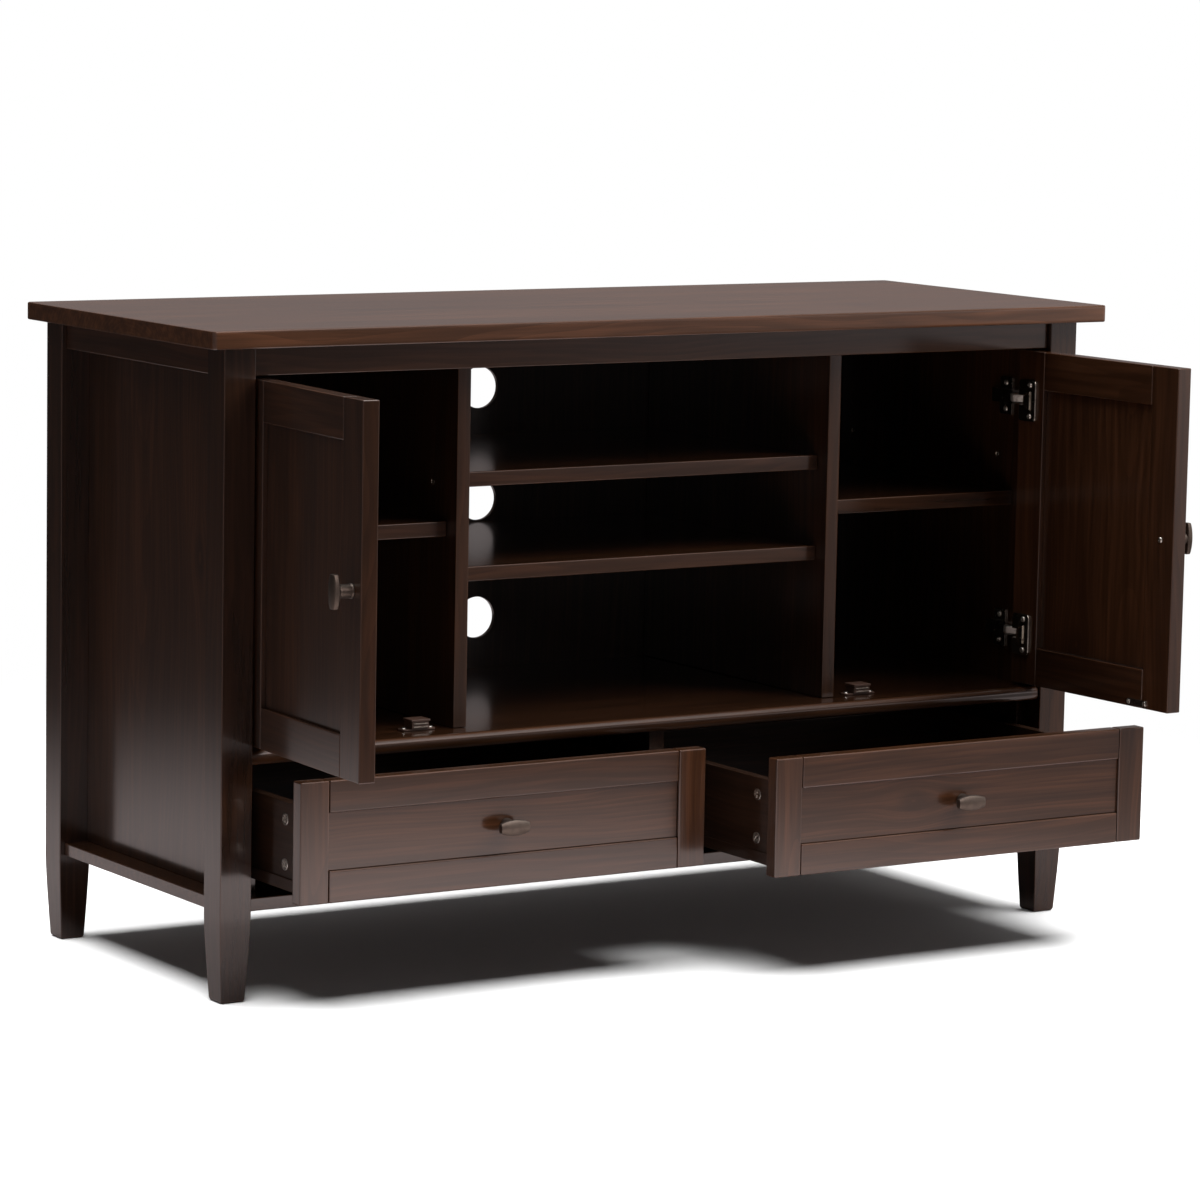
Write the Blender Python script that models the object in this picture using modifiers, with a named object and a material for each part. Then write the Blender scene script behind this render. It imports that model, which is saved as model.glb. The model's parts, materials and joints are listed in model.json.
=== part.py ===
"""A stained pine tv stand on four tapered posts, with two doors, two drawers and an open centre bay.

Metres, +Z up, +X to the right of someone facing the front, +Y to the back.
It rests with both doors swung open and both drawers part drawn.
"""

import math

import bmesh
import bpy
from mathutils import Matrix

# Fit between pieces that touch
FIT = 0.0003

# Top panel
TOP_WIDTH = 1.194
TOP_DEPTH = 0.4506
TOP_THICKNESS = 0.0197
TOP_CORNER_RADIUS = 0.006
TOP_EDGE_ROUND = 0.0025
SIDE_OVERHANG = 0.0264
FRONT_OVERHANG = 0.0235

# Posts
POST_SIZE = 0.038
FOOT_TAPER = 0.0048
TAPER_HEIGHT = 0.094
TAPER_CURVE = 1.3
TAPER_CUTS = 5
POST_EDGE = 0.0012

# Heights of the stack, from the floor up
FLOOR_CLEARANCE = 0.099
BOTTOM_BOARD_THICKNESS = 0.0145
DRAWER_OPENING = 0.1452
DECK_THICKNESS = 0.017
LOWER_OPENING = 0.1605
SHELF_THICKNESS = 0.017
MIDDLE_OPENING = 0.0892
UPPER_OPENING = 0.1206
TOP_RAIL_HEIGHT = 0.0315

# Rails, panels and boards
RAIL_SET_BACK = 0.006
FRONT_RAIL_THICKNESS = 0.020
SIDE_PANEL_THICKNESS = 0.008
SIDE_PANEL_INSET = 0.005
BACK_PANEL_THICKNESS = 0.005
DECK_SET_BACK = 0.003
DECK_NOSE_ROUND = 0.007
DIVIDER_THICKNESS = 0.0168
DIVIDER_SET_BACK = 0.039
CENTRE_BAY_WIDTH = 0.4834
CENTRE_SHELF_SET_BACK = 0.0585
SIDE_SHELF_SET_BACK = 0.0593
SIDE_SHELF_RISE = 0.2127
BOARD_EDGE = 0.0010
SHELF_EDGE = 0.0016

# Cable holes in the back panel, measured from the board below each
CABLE_HOLE_DIAMETER = 0.050
LOWER_HOLE_RISE = 0.0613
MIDDLE_HOLE_RISE = 0.0268
UPPER_HOLE_RISE = 0.0556

# Doors
DOOR_THICKNESS = 0.019
DOOR_SET_BACK = 0.018
DOOR_HINGE_GAP = 0.003
DOOR_TOP_GAP = 0.003
DOOR_BOTTOM_GAP = 0.0043
DOOR_DIVIDER_LAP = 0.012
DOOR_FRAME_WIDTH = 0.045
DOOR_PANEL_RECESS = 0.006
LEFT_DOOR_OPEN = math.radians(93.2)
RIGHT_DOOR_OPEN = math.radians(92.0)
DOOR_KNOB_FROM_EDGE = 0.0218

# Hinges: a pin near the outer corner of the door, carried by an arm from the side wall
PIN_FROM_DOOR_FACES = 0.006
HINGE_FROM_DOOR_END = 0.059
HINGE_PIN_RADIUS = 0.0015
KNUCKLE_RADIUS = 0.0034
EAR_RADIUS = 0.0032
EAR_THICKNESS = 0.0015
NOTCH_SPACE = 0.0005
ARM_THICKNESS = 0.003
ARM_HEIGHT = 0.010
MOUNT_START = 0.058
MOUNT_LENGTH = 0.040
MOUNT_HEIGHT = 0.016
WING_START = 0.064
WING_LENGTH = 0.022
WING_HEIGHT = 0.044
WING_THICKNESS = 0.0018
HINGE_PLATE_FROM_EDGE = 0.012
HINGE_PLATE_WIDTH = 0.021
HINGE_PLATE_HEIGHT = 0.049
HINGE_PLATE_THICKNESS = 0.0015
HINGE_PLATE_CORNER = 0.005

# Catches and strike plates
CATCH_FROM_DIVIDER = 0.0415
CATCH_BASE_WIDTH = 0.044
CATCH_BASE_DEPTH = 0.014
CATCH_BASE_THICKNESS = 0.0018
CATCH_BOX_WIDTH = 0.024
CATCH_BOX_DEPTH = 0.020
CATCH_BOX_HEIGHT = 0.0125
STRIKE_WIDTH = 0.036
STRIKE_HEIGHT = 0.008
STRIKE_THICKNESS = 0.0012
STRIKE_FROM_DOOR_BOTTOM = 0.0015
STRIKE_GAP = 0.0006

# Drawers
DRAWER_FRONT_THICKNESS = 0.0175
DRAWER_SET_BACK = 0.003
DRAWER_END_GAP = 0.003
DRAWER_TOP_GAP = 0.0020
DRAWER_BOTTOM_GAP = 0.0101
DRAWER_FRAME_WIDTH = 0.035
DRAWER_PANEL_RECESS = 0.006
DRAWER_PANEL_THICKNESS = 0.007
PARTITION_THICKNESS = 0.0204
PARTITION_SET_BACK = 0.020
PARTITION_FRONT_GAP = 0.0038
DRAWER_SIDE_INSET = 0.010
DRAWER_SIDE_THICKNESS = 0.012
DRAWER_SIDE_HEIGHT = 0.0955
DRAWER_RIB_HEIGHT = 0.0130
DRAWER_RIB_PROUD = 0.0025
DRAWER_BACK_SPACE = 0.040
DRAWER_BACK_THICKNESS = 0.012
DRAWER_FLOOR_RISE = 0.006
DRAWER_FLOOR_THICKNESS = 0.005
RUNNER_HEIGHT = 0.0187
RUNNER_LAP = 0.002
RUNNER_SET_BACK = 0.040
LEFT_DRAWER_DRAWN = 0.1055
RIGHT_DRAWER_DRAWN = 0.2045

# Oval knobs, shared by the doors and drawers
KNOB_FOOT_RADIUS = 0.0080
KNOB_FOOT_HEIGHT = 0.0020
KNOB_NECK_RADIUS = 0.0068
KNOB_STEM_LENGTH = 0.0200
KNOB_HEAD_LENGTH = 0.036
KNOB_HEAD_WIDTH = 0.0172
KNOB_HEAD_THICKNESS = 0.0090
KNOB_RIM_THICKNESS = 0.0040
KNOB_STEPS = 24
KNOB_DOME_STEPS = 4

# Levels and planes worked out from the sizes above
BOTTOM_TOP = FLOOR_CLEARANCE + BOTTOM_BOARD_THICKNESS
DECK_BOTTOM = BOTTOM_TOP + DRAWER_OPENING
DECK_TOP = DECK_BOTTOM + DECK_THICKNESS
LOWER_SHELF_BOTTOM = DECK_TOP + LOWER_OPENING
LOWER_SHELF_TOP = LOWER_SHELF_BOTTOM + SHELF_THICKNESS
UPPER_SHELF_BOTTOM = LOWER_SHELF_TOP + MIDDLE_OPENING
UPPER_SHELF_TOP = UPPER_SHELF_BOTTOM + SHELF_THICKNESS
RAIL_BOTTOM = UPPER_SHELF_TOP + UPPER_OPENING
TOP_UNDERSIDE = RAIL_BOTTOM + TOP_RAIL_HEIGHT
UNDER_TOP = TOP_UNDERSIDE - FIT
HEIGHT = TOP_UNDERSIDE + TOP_THICKNESS

POST_OUTER = TOP_WIDTH / 2 - SIDE_OVERHANG
POST_INNER = POST_OUTER - POST_SIZE
PANEL_INNER = POST_INNER - SIDE_PANEL_INSET
PANEL_OUTER = PANEL_INNER + SIDE_PANEL_THICKNESS
DIVIDER_INNER = CENTRE_BAY_WIDTH / 2
DIVIDER_OUTER = DIVIDER_INNER + DIVIDER_THICKNESS

DOOR_HINGE_EDGE = POST_INNER - DOOR_HINGE_GAP
DOOR_WIDTH = DOOR_HINGE_EDGE - (DIVIDER_OUTER - DOOR_DIVIDER_LAP)
DOOR_BOTTOM = DECK_TOP + DOOR_BOTTOM_GAP
DOOR_TOP = RAIL_BOTTOM - DOOR_TOP_GAP
PIN_X = DOOR_HINGE_EDGE - PIN_FROM_DOOR_FACES
PIN_SET_BACK = DOOR_SET_BACK + PIN_FROM_DOOR_FACES
HINGE_HEIGHTS = {"upper": DOOR_TOP - HINGE_FROM_DOOR_END, "lower": DOOR_BOTTOM + HINGE_FROM_DOOR_END}


def door_reach(angle):
    """How far an open door stands in front of its pin."""
    along = DOOR_WIDTH - PIN_FROM_DOOR_FACES
    inner = DOOR_THICKNESS - PIN_FROM_DOOR_FACES
    return along * math.sin(angle) - inner * math.cos(angle)


def drawer_reach(drawn):
    """How far a drawn drawer's knob stands in front of the posts."""
    knob = KNOB_STEM_LENGTH + KNOB_HEAD_THICKNESS / 2
    return drawn - DRAWER_SET_BACK + knob - DRAWER_PANEL_RECESS + FIT


# The frame's origin is on the floor, midway between the back and whatever stands out farthest in front
REACH = max(
    door_reach(LEFT_DOOR_OPEN) - PIN_SET_BACK,
    door_reach(RIGHT_DOOR_OPEN) - PIN_SET_BACK,
    drawer_reach(LEFT_DRAWER_DRAWN),
    drawer_reach(RIGHT_DRAWER_DRAWN),
)
BACK = (TOP_DEPTH - FRONT_OVERHANG + REACH) / 2
TOP_FRONT = BACK - TOP_DEPTH
POST_FRONT = TOP_FRONT + FRONT_OVERHANG
POST_BEHIND = POST_FRONT + POST_SIZE
BACK_POST_FRONT = BACK - POST_SIZE
BACK_PANEL_FRONT = BACK - BACK_PANEL_THICKNESS
BEHIND = BACK_PANEL_FRONT - FIT
PIN_Y = POST_FRONT + PIN_SET_BACK

DRAWER_FRONT_BOTTOM = BOTTOM_TOP + DRAWER_BOTTOM_GAP
DRAWER_FRONT_TOP = DECK_BOTTOM - DRAWER_TOP_GAP
DRAWER_OUTER_END = POST_INNER - DRAWER_END_GAP
DRAWER_INNER_END = PARTITION_THICKNESS / 2 + PARTITION_FRONT_GAP
DRAWER_FACE = POST_FRONT + DRAWER_SET_BACK
DRAWER_FRONT_BACK = DRAWER_FACE + DRAWER_FRONT_THICKNESS
DRAWER_BOX_END = BACK_PANEL_FRONT - DRAWER_BACK_SPACE
RUNNER_TOP = BOTTOM_TOP + FIT + RUNNER_HEIGHT
DRAWER_SIDE_BOTTOM = RUNNER_TOP + FIT
DRAWER_SIDE_TOP = DRAWER_SIDE_BOTTOM + DRAWER_SIDE_HEIGHT
DRAWER_FLOOR_BOTTOM = DRAWER_SIDE_BOTTOM + DRAWER_FLOOR_RISE
DRAWER_FLOOR_TOP = DRAWER_FLOOR_BOTTOM + DRAWER_FLOOR_THICKNESS
OUTER_SIDE_FACE = DRAWER_OUTER_END - DRAWER_SIDE_INSET
INNER_SIDE_FACE = DRAWER_INNER_END + DRAWER_SIDE_INSET

SIDES = {"left": -1, "right": 1}
DOOR_ANGLES = {"left": -LEFT_DOOR_OPEN, "right": RIGHT_DOOR_OPEN}
DRAWN = {"left": LEFT_DRAWER_DRAWN, "right": RIGHT_DRAWER_DRAWN}

# Finishes: linear colour, roughness, metallic
WOOD = ((0.050, 0.023, 0.013, 1.0), 0.32, 0.0)
INNER_WOOD = ((0.042, 0.020, 0.012, 1.0), 0.40, 0.0)
NICKEL = ((0.60, 0.57, 0.52, 1.0), 0.28, 1.0)
KNOB_METAL = ((0.130, 0.095, 0.070, 1.0), 0.34, 0.9)
CATCH_SHELL = ((0.060, 0.034, 0.022, 1.0), 0.45, 0.0)


def clear_scene():
    for item in list(bpy.data.objects):
        bpy.data.objects.remove(item, do_unlink=True)


def make_collection(name):
    collection = bpy.data.collections.new(name)
    bpy.context.scene.collection.children.link(collection)
    return collection


clear_scene()
PARTS = make_collection("tv_stand")
CUTTERS = make_collection("tv_stand_cutters")


def make_material(name, finish):
    colour, roughness, metallic = finish
    material = bpy.data.materials.new(name)
    material.use_nodes = True
    shader = material.node_tree.nodes["Principled BSDF"]
    shader.inputs["Base Color"].default_value = colour
    shader.inputs["Roughness"].default_value = roughness
    shader.inputs["Metallic"].default_value = metallic
    material.diffuse_color = colour
    return material


def place(name, shape, finish=None, parent=None):
    """Turns a bmesh into a named part, or into a cutter where it has no finish."""
    mesh = bpy.data.meshes.new(name)
    bmesh.ops.recalc_face_normals(shape, faces=shape.faces)
    shape.to_mesh(mesh)
    shape.free()
    piece = bpy.data.objects.new(name, mesh)
    if finish is None:
        CUTTERS.objects.link(piece)
        piece.hide_render = True
        piece.display_type = "WIRE"
    else:
        PARTS.objects.link(piece)
        mesh.materials.append(make_material(name + "_finish", finish))
    piece.parent = parent
    return piece


def add_bevel(piece, width, segments=1, limit="ANGLE"):
    bevel = piece.modifiers.new("rounded_edges", "BEVEL")
    bevel.width = width
    bevel.segments = segments
    bevel.limit_method = limit
    return bevel


def add_boolean(piece, other, operation):
    boolean = piece.modifiers.new(other.name, "BOOLEAN")
    boolean.operation = operation
    boolean.solver = "EXACT"
    boolean.object = other


def box_shape(x, y, z):
    """A box between the two values of each of x, y and z, given in any order."""
    lows = [min(pair) for pair in (x, y, z)]
    highs = [max(pair) for pair in (x, y, z)]
    centre = [(low + high) / 2 for low, high in zip(lows, highs)]
    size = [high - low for low, high in zip(lows, highs)]
    shape = bmesh.new()
    bmesh.ops.create_cube(shape, size=1.0, matrix=Matrix.Translation(centre) @ Matrix.Diagonal((*size, 1.0)))
    return shape


def box(name, x, y, z, finish=None, parent=None, edge=0.0):
    piece = place(name, box_shape(x, y, z), finish, parent)
    if edge:
        add_bevel(piece, edge)
    return piece


def cylinder(name, centre, radius, length, axis="Z", parent=None, segments=16):
    """A round cutter or addition, centred on a point."""
    shape = bmesh.new()
    turn = Matrix.Rotation(math.pi / 2, 4, "X") if axis == "Y" else Matrix.Identity(4)
    bmesh.ops.create_cone(
        shape, cap_ends=True, segments=segments, radius1=radius, radius2=radius, depth=length,
        matrix=Matrix.Translation(centre) @ turn,
    )
    return place(name, shape, None, parent)


def weight_edges(shape, chosen):
    """Marks for a weighted bevel the edges whose two ends both pass the test."""
    layer = shape.edges.layers.float.new("bevel_weight_edge")
    for edge in shape.edges:
        if all(chosen(corner.co) for corner in edge.verts):
            edge[layer] = 1.0


def mirrored(side, low, high):
    """A span of x on the right, taken to the given side."""
    return (side * low, side * high)


def make_top():
    shape = box_shape((-TOP_WIDTH / 2, TOP_WIDTH / 2), (TOP_FRONT, BACK), (TOP_UNDERSIDE, HEIGHT))
    layer = shape.edges.layers.float.new("bevel_weight_edge")
    for edge in shape.edges:
        start, end = edge.verts
        edge[layer] = float(abs(start.co.z - end.co.z) > TOP_THICKNESS / 2)
    top = place("top_panel", shape, WOOD)
    add_bevel(top, TOP_CORNER_RADIUS, segments=4, limit="WEIGHT")
    add_bevel(top, TOP_EDGE_ROUND, segments=2)


def make_post_mesh():
    """A square post whose foot tapers on all four sides, its origin under the middle."""
    half = POST_SIZE / 2
    shape = box_shape((-half, half), (-half, half), (0.0, UNDER_TOP))
    for cut in range(1, TAPER_CUTS + 1):
        level = TAPER_HEIGHT * cut / TAPER_CUTS
        geometry = shape.verts[:] + shape.edges[:] + shape.faces[:]
        bmesh.ops.bisect_plane(shape, geom=geometry, plane_co=(0, 0, level), plane_no=(0, 0, 1))
    for corner in shape.verts:
        below = max(0.0, 1.0 - corner.co.z / TAPER_HEIGHT)
        scale = 1.0 - FOOT_TAPER / half * below ** TAPER_CURVE
        corner.co.x *= scale
        corner.co.y *= scale
    return shape


def make_posts():
    rows = {"front": POST_FRONT + POST_SIZE / 2, "back": BACK - POST_SIZE / 2}
    for row, y in rows.items():
        for side_name, side in SIDES.items():
            post = place(f"post_{row}_{side_name}", make_post_mesh(), WOOD)
            post.location = (side * (POST_OUTER - POST_SIZE / 2), y, 0.0)
            add_bevel(post, POST_EDGE)


def make_sides():
    depth = (POST_BEHIND + FIT, BACK_POST_FRONT - FIT)
    for side_name, side in SIDES.items():
        rail_x = mirrored(side, PANEL_OUTER + FIT, POST_OUTER - RAIL_SET_BACK)
        box(f"side_rail_{side_name}", rail_x, depth, (RAIL_BOTTOM, UNDER_TOP), WOOD, edge=BOARD_EDGE)
        panel_x = mirrored(side, PANEL_INNER, PANEL_OUTER)
        box(f"side_panel_{side_name}", panel_x, depth, (BOTTOM_TOP + FIT, UNDER_TOP), WOOD)


def make_front_rail():
    front = POST_FRONT + RAIL_SET_BACK
    across = (-POST_INNER + FIT, POST_INNER - FIT)
    levels = (RAIL_BOTTOM, UNDER_TOP)
    box("front_rail", across, (front, front + FRONT_RAIL_THICKNESS), levels, WOOD, edge=BOARD_EDGE)


def make_bottom_board():
    reach = POST_OUTER - RAIL_SET_BACK
    levels = (FLOOR_CLEARANCE, BOTTOM_TOP)
    board = box("bottom_board", (-reach, reach), (POST_FRONT + RAIL_SET_BACK, BEHIND), levels, WOOD, edge=BOARD_EDGE)
    rows = {"front": (POST_FRONT - FIT, POST_BEHIND + FIT), "back": (BACK_POST_FRONT - FIT, BACK + FIT)}
    for row, depth in rows.items():
        for side_name, side in SIDES.items():
            corner = mirrored(side, POST_INNER - FIT, POST_OUTER + FIT)
            notch = box(f"cut_post_{row}_{side_name}", corner, depth, (0.0, HEIGHT))
            add_boolean(board, notch, "DIFFERENCE")


def make_back_panel():
    across = (-POST_INNER + FIT, POST_INNER - FIT)
    panel = box("back_panel", across, (BACK_PANEL_FRONT, BACK), (FLOOR_CLEARANCE, UNDER_TOP), INNER_WOOD)
    holes = {
        "lower": DECK_TOP + LOWER_HOLE_RISE,
        "middle": LOWER_SHELF_TOP + MIDDLE_HOLE_RISE,
        "upper": UPPER_SHELF_TOP + UPPER_HOLE_RISE,
    }
    middle = BACK - BACK_PANEL_THICKNESS / 2
    for level_name, level in holes.items():
        bore = cylinder(
            f"cut_cable_hole_{level_name}", (0.0, middle, level), CABLE_HOLE_DIAMETER / 2,
            2 * BACK_PANEL_THICKNESS, "Y", segments=40,
        )
        add_boolean(panel, bore, "DIFFERENCE")


def make_deck():
    """The board under the doors: its rounded nose fills the space between the posts."""
    reach = POST_INNER - FIT
    front = POST_FRONT + DECK_SET_BACK
    shape = box_shape((-reach, reach), (front, BEHIND), (DECK_BOTTOM, DECK_TOP))
    weight_edges(shape, lambda corner: corner.y < POST_BEHIND)
    deck = place("deck_board", shape, WOOD)
    add_bevel(deck, DECK_NOSE_ROUND, segments=3, limit="WEIGHT")
    for side_name, side in SIDES.items():
        beside = mirrored(side, PANEL_INNER - FIT, POST_OUTER)
        slot = box(f"cut_panel_{side_name}", beside, (POST_BEHIND, BACK), (0.0, HEIGHT))
        add_boolean(deck, slot, "DIFFERENCE")


def make_dividers_and_shelves():
    divider_depth = (POST_FRONT + DIVIDER_SET_BACK, BEHIND)
    for side_name, side in SIDES.items():
        divider_x = mirrored(side, DIVIDER_INNER, DIVIDER_OUTER)
        levels = (DECK_TOP + FIT, UNDER_TOP)
        box(f"divider_{side_name}", divider_x, divider_depth, levels, WOOD, edge=BOARD_EDGE)
        shelf_x = mirrored(side, DIVIDER_OUTER + FIT, PANEL_INNER - FIT)
        shelf_bottom = DECK_TOP + SIDE_SHELF_RISE
        box(
            f"side_shelf_{side_name}", shelf_x, (POST_FRONT + SIDE_SHELF_SET_BACK, BEHIND),
            (shelf_bottom, shelf_bottom + SHELF_THICKNESS), WOOD, edge=SHELF_EDGE,
        )
    across = (-DIVIDER_INNER + FIT, DIVIDER_INNER - FIT)
    shelf_depth = (POST_FRONT + CENTRE_SHELF_SET_BACK, BEHIND)
    shelves = {"lower": (LOWER_SHELF_BOTTOM, LOWER_SHELF_TOP), "upper": (UPPER_SHELF_BOTTOM, UPPER_SHELF_TOP)}
    for level_name, levels in shelves.items():
        box(f"centre_shelf_{level_name}", across, shelf_depth, levels, WOOD, edge=SHELF_EDGE)


def make_partition_and_runners():
    """The wall between the drawers has a runner ledge on each side; the outer runners are strips."""
    half = PARTITION_THICKNESS / 2
    levels = (BOTTOM_TOP + FIT, DECK_BOTTOM - FIT)
    front = POST_FRONT + PARTITION_SET_BACK
    partition = box("drawer_partition", (-half, half), (front, BEHIND), levels, INNER_WOOD)
    ledge_reach = INNER_SIDE_FACE + DRAWER_SIDE_THICKNESS + RUNNER_LAP
    runner_depth = (POST_FRONT + RUNNER_SET_BACK, BEHIND)
    runner_levels = (BOTTOM_TOP + FIT, RUNNER_TOP)
    ledge = box("join_inner_runners", (-ledge_reach, ledge_reach), runner_depth, runner_levels)
    add_boolean(partition, ledge, "UNION")
    for side_name, side in SIDES.items():
        inner_edge = OUTER_SIDE_FACE - DRAWER_SIDE_THICKNESS - RUNNER_LAP
        across = mirrored(side, inner_edge, PANEL_INNER - FIT)
        box(f"drawer_runner_{side_name}", across, runner_depth, runner_levels, INNER_WOOD)


def make_catches():
    """A magnetic catch on the deck behind each closed door's strike plate."""
    front = POST_FRONT + DOOR_SET_BACK + DOOR_THICKNESS + FIT + STRIKE_THICKNESS + STRIKE_GAP
    bottom = DECK_TOP + FIT
    for side_name, side in SIDES.items():
        middle = side * (DIVIDER_OUTER + CATCH_FROM_DIVIDER)
        base_x = (middle - CATCH_BASE_WIDTH / 2, middle + CATCH_BASE_WIDTH / 2)
        box_x = (middle - CATCH_BOX_WIDTH / 2, middle + CATCH_BOX_WIDTH / 2)
        base_front = front + (CATCH_BOX_DEPTH - CATCH_BASE_DEPTH) / 2
        catch = box(
            f"catch_{side_name}", box_x, (front, front + CATCH_BOX_DEPTH),
            (bottom, bottom + CATCH_BOX_HEIGHT), CATCH_SHELL,
        )
        base = box(
            f"join_catch_base_{side_name}", base_x, (base_front, base_front + CATCH_BASE_DEPTH),
            (bottom, bottom + CATCH_BASE_THICKNESS),
        )
        add_boolean(catch, base, "UNION")


def make_hinge_arm(name, side, level):
    """The fixed half of a hinge: a mount and wing on the side wall, an arm, and the knuckle round the pin."""
    pin_x = side * PIN_X
    wall = side * (PANEL_INNER - FIT)
    arm_near = pin_x - side * ARM_THICKNESS / 2
    arm_far = pin_x + side * ARM_THICKNESS / 2
    arm_levels = (level - ARM_HEIGHT / 2, level + ARM_HEIGHT / 2)
    mount_front = POST_FRONT + MOUNT_START
    wing_front = POST_FRONT + WING_START
    mount = box(
        name, (arm_near, wall), (mount_front, mount_front + MOUNT_LENGTH),
        (level - MOUNT_HEIGHT / 2, level + MOUNT_HEIGHT / 2), NICKEL,
    )
    wing = box(
        f"join_{name}_wing", (wall, wall - side * WING_THICKNESS), (wing_front, wing_front + WING_LENGTH),
        (level - WING_HEIGHT / 2, level + WING_HEIGHT / 2),
    )
    bar_end = mount_front + MOUNT_LENGTH / 2
    bar = box(f"join_{name}_bar", (arm_near, arm_far), (PIN_Y, bar_end), arm_levels)
    knuckle = cylinder(f"join_{name}_knuckle", (pin_x, PIN_Y, level), KNUCKLE_RADIUS, ARM_HEIGHT)
    bore = cylinder(f"cut_{name}_bore", (pin_x, PIN_Y, level), HINGE_PIN_RADIUS + FIT, 2 * ARM_HEIGHT)
    for other in (wing, bar, knuckle):
        add_boolean(mount, other, "UNION")
    add_boolean(mount, bore, "DIFFERENCE")


def make_hinge_plate(name, door, across, level):
    """The moving half of a hinge: a plate on the door's inner face, two ears in the notch and the pin."""
    slot_half = ARM_HEIGHT / 2 + FIT
    ears_half = slot_half + EAR_THICKNESS
    face = DOOR_THICKNESS - PIN_FROM_DOOR_FACES + FIT
    back = face + HINGE_PLATE_THICKNESS
    plate_end = HINGE_PLATE_FROM_EDGE + HINGE_PLATE_WIDTH
    ear_start = PIN_FROM_DOOR_FACES - EAR_RADIUS
    ear_end = PIN_FROM_DOOR_FACES + EAR_RADIUS
    ear_levels = (level - ears_half, level + ears_half)
    plate_levels = (level - HINGE_PLATE_HEIGHT / 2, level + HINGE_PLATE_HEIGHT / 2)
    shape = box_shape(across(HINGE_PLATE_FROM_EDGE, plate_end), (face, back), plate_levels)
    layer = shape.edges.layers.float.new("bevel_weight_edge")
    for edge in shape.edges:
        start, end = edge.verts
        edge[layer] = float(abs(start.co.y - end.co.y) > HINGE_PLATE_THICKNESS / 2)
    plate = place(name, shape, NICKEL, door)
    add_bevel(plate, HINGE_PLATE_CORNER, segments=3, limit="WEIGHT")
    bridge_end = HINGE_PLATE_FROM_EDGE + HINGE_PLATE_CORNER
    bridge = box(f"join_{name}_bridge", across(ear_start, bridge_end), (face, back), ear_levels, parent=door)
    ears = box(f"join_{name}_ears", across(ear_start, ear_end), (-EAR_RADIUS, back), ear_levels, parent=door)
    slot_end = PIN_FROM_DOOR_FACES + KNUCKLE_RADIUS + NOTCH_SPACE
    slot_depth = (-DOOR_THICKNESS, DOOR_THICKNESS)
    slot_levels = (level - slot_half, level + slot_half)
    slot = box(f"cut_{name}_slot", across(-slot_end, slot_end), slot_depth, slot_levels, parent=door)
    pin = cylinder(f"join_{name}_pin", (0.0, 0.0, level), HINGE_PIN_RADIUS, ARM_HEIGHT + 2 * EAR_THICKNESS, parent=door)
    add_boolean(plate, bridge, "UNION")
    add_boolean(plate, ears, "UNION")
    add_boolean(plate, slot, "DIFFERENCE")
    add_boolean(plate, pin, "UNION")


def turned(name, profile, finish, parent):
    """A shape turned about its own Z from (radius, height) points, listed from its top down."""
    shape = bmesh.new()
    corners = [shape.verts.new((radius, 0.0, height)) for radius, height in profile]
    for start, end in zip(corners, corners[1:]):
        shape.edges.new((start, end))
    piece = place(name, shape, finish, parent)
    screw = piece.modifiers.new("turned", "SCREW")
    screw.steps = KNOB_STEPS
    screw.render_steps = KNOB_STEPS
    screw.use_merge_vertices = True
    screw.merge_threshold = 0.0001
    return piece


def make_knob(name, parent, spot, upright):
    """A turned stem with an oval head. Its own Z points out of the face that it is fixed to."""
    stem = [
        (0.0, KNOB_STEM_LENGTH),
        (KNOB_NECK_RADIUS, KNOB_STEM_LENGTH),
        (KNOB_NECK_RADIUS, 2 * KNOB_FOOT_HEIGHT),
        (KNOB_FOOT_RADIUS, KNOB_FOOT_HEIGHT),
        (KNOB_FOOT_RADIUS, 0.0),
        (0.0, 0.0),
    ]
    knob = turned(name, stem, KNOB_METAL, parent)
    knob.location = spot
    knob.rotation_euler = (math.pi / 2, 0.0, 0.0)
    half_rim = KNOB_RIM_THICKNESS / 2
    rise = KNOB_HEAD_THICKNESS / 2 - half_rim
    dome = []
    for step in range(KNOB_DOME_STEPS + 1):
        angle = math.pi / 2 * step / KNOB_DOME_STEPS
        dome.append((KNOB_HEAD_LENGTH / 2 * math.sin(angle), half_rim + rise * math.cos(angle)))
    under = [(radius, -height) for radius, height in reversed(dome)]
    head = turned(f"join_{name}_head", dome + under, None, knob)
    head.location = (0.0, 0.0, KNOB_STEM_LENGTH)
    head.rotation_euler = (0.0, 0.0, math.pi / 2 if upright else 0.0)
    head.scale = (1.0, KNOB_HEAD_WIDTH / KNOB_HEAD_LENGTH, 1.0)
    add_boolean(knob, head, "UNION")


def make_pivot(name, spot, turn=0.0):
    pivot = bpy.data.objects.new(name, None)
    PARTS.objects.link(pivot)
    pivot.location = spot
    pivot.rotation_euler = (0.0, 0.0, turn)
    return pivot


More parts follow.
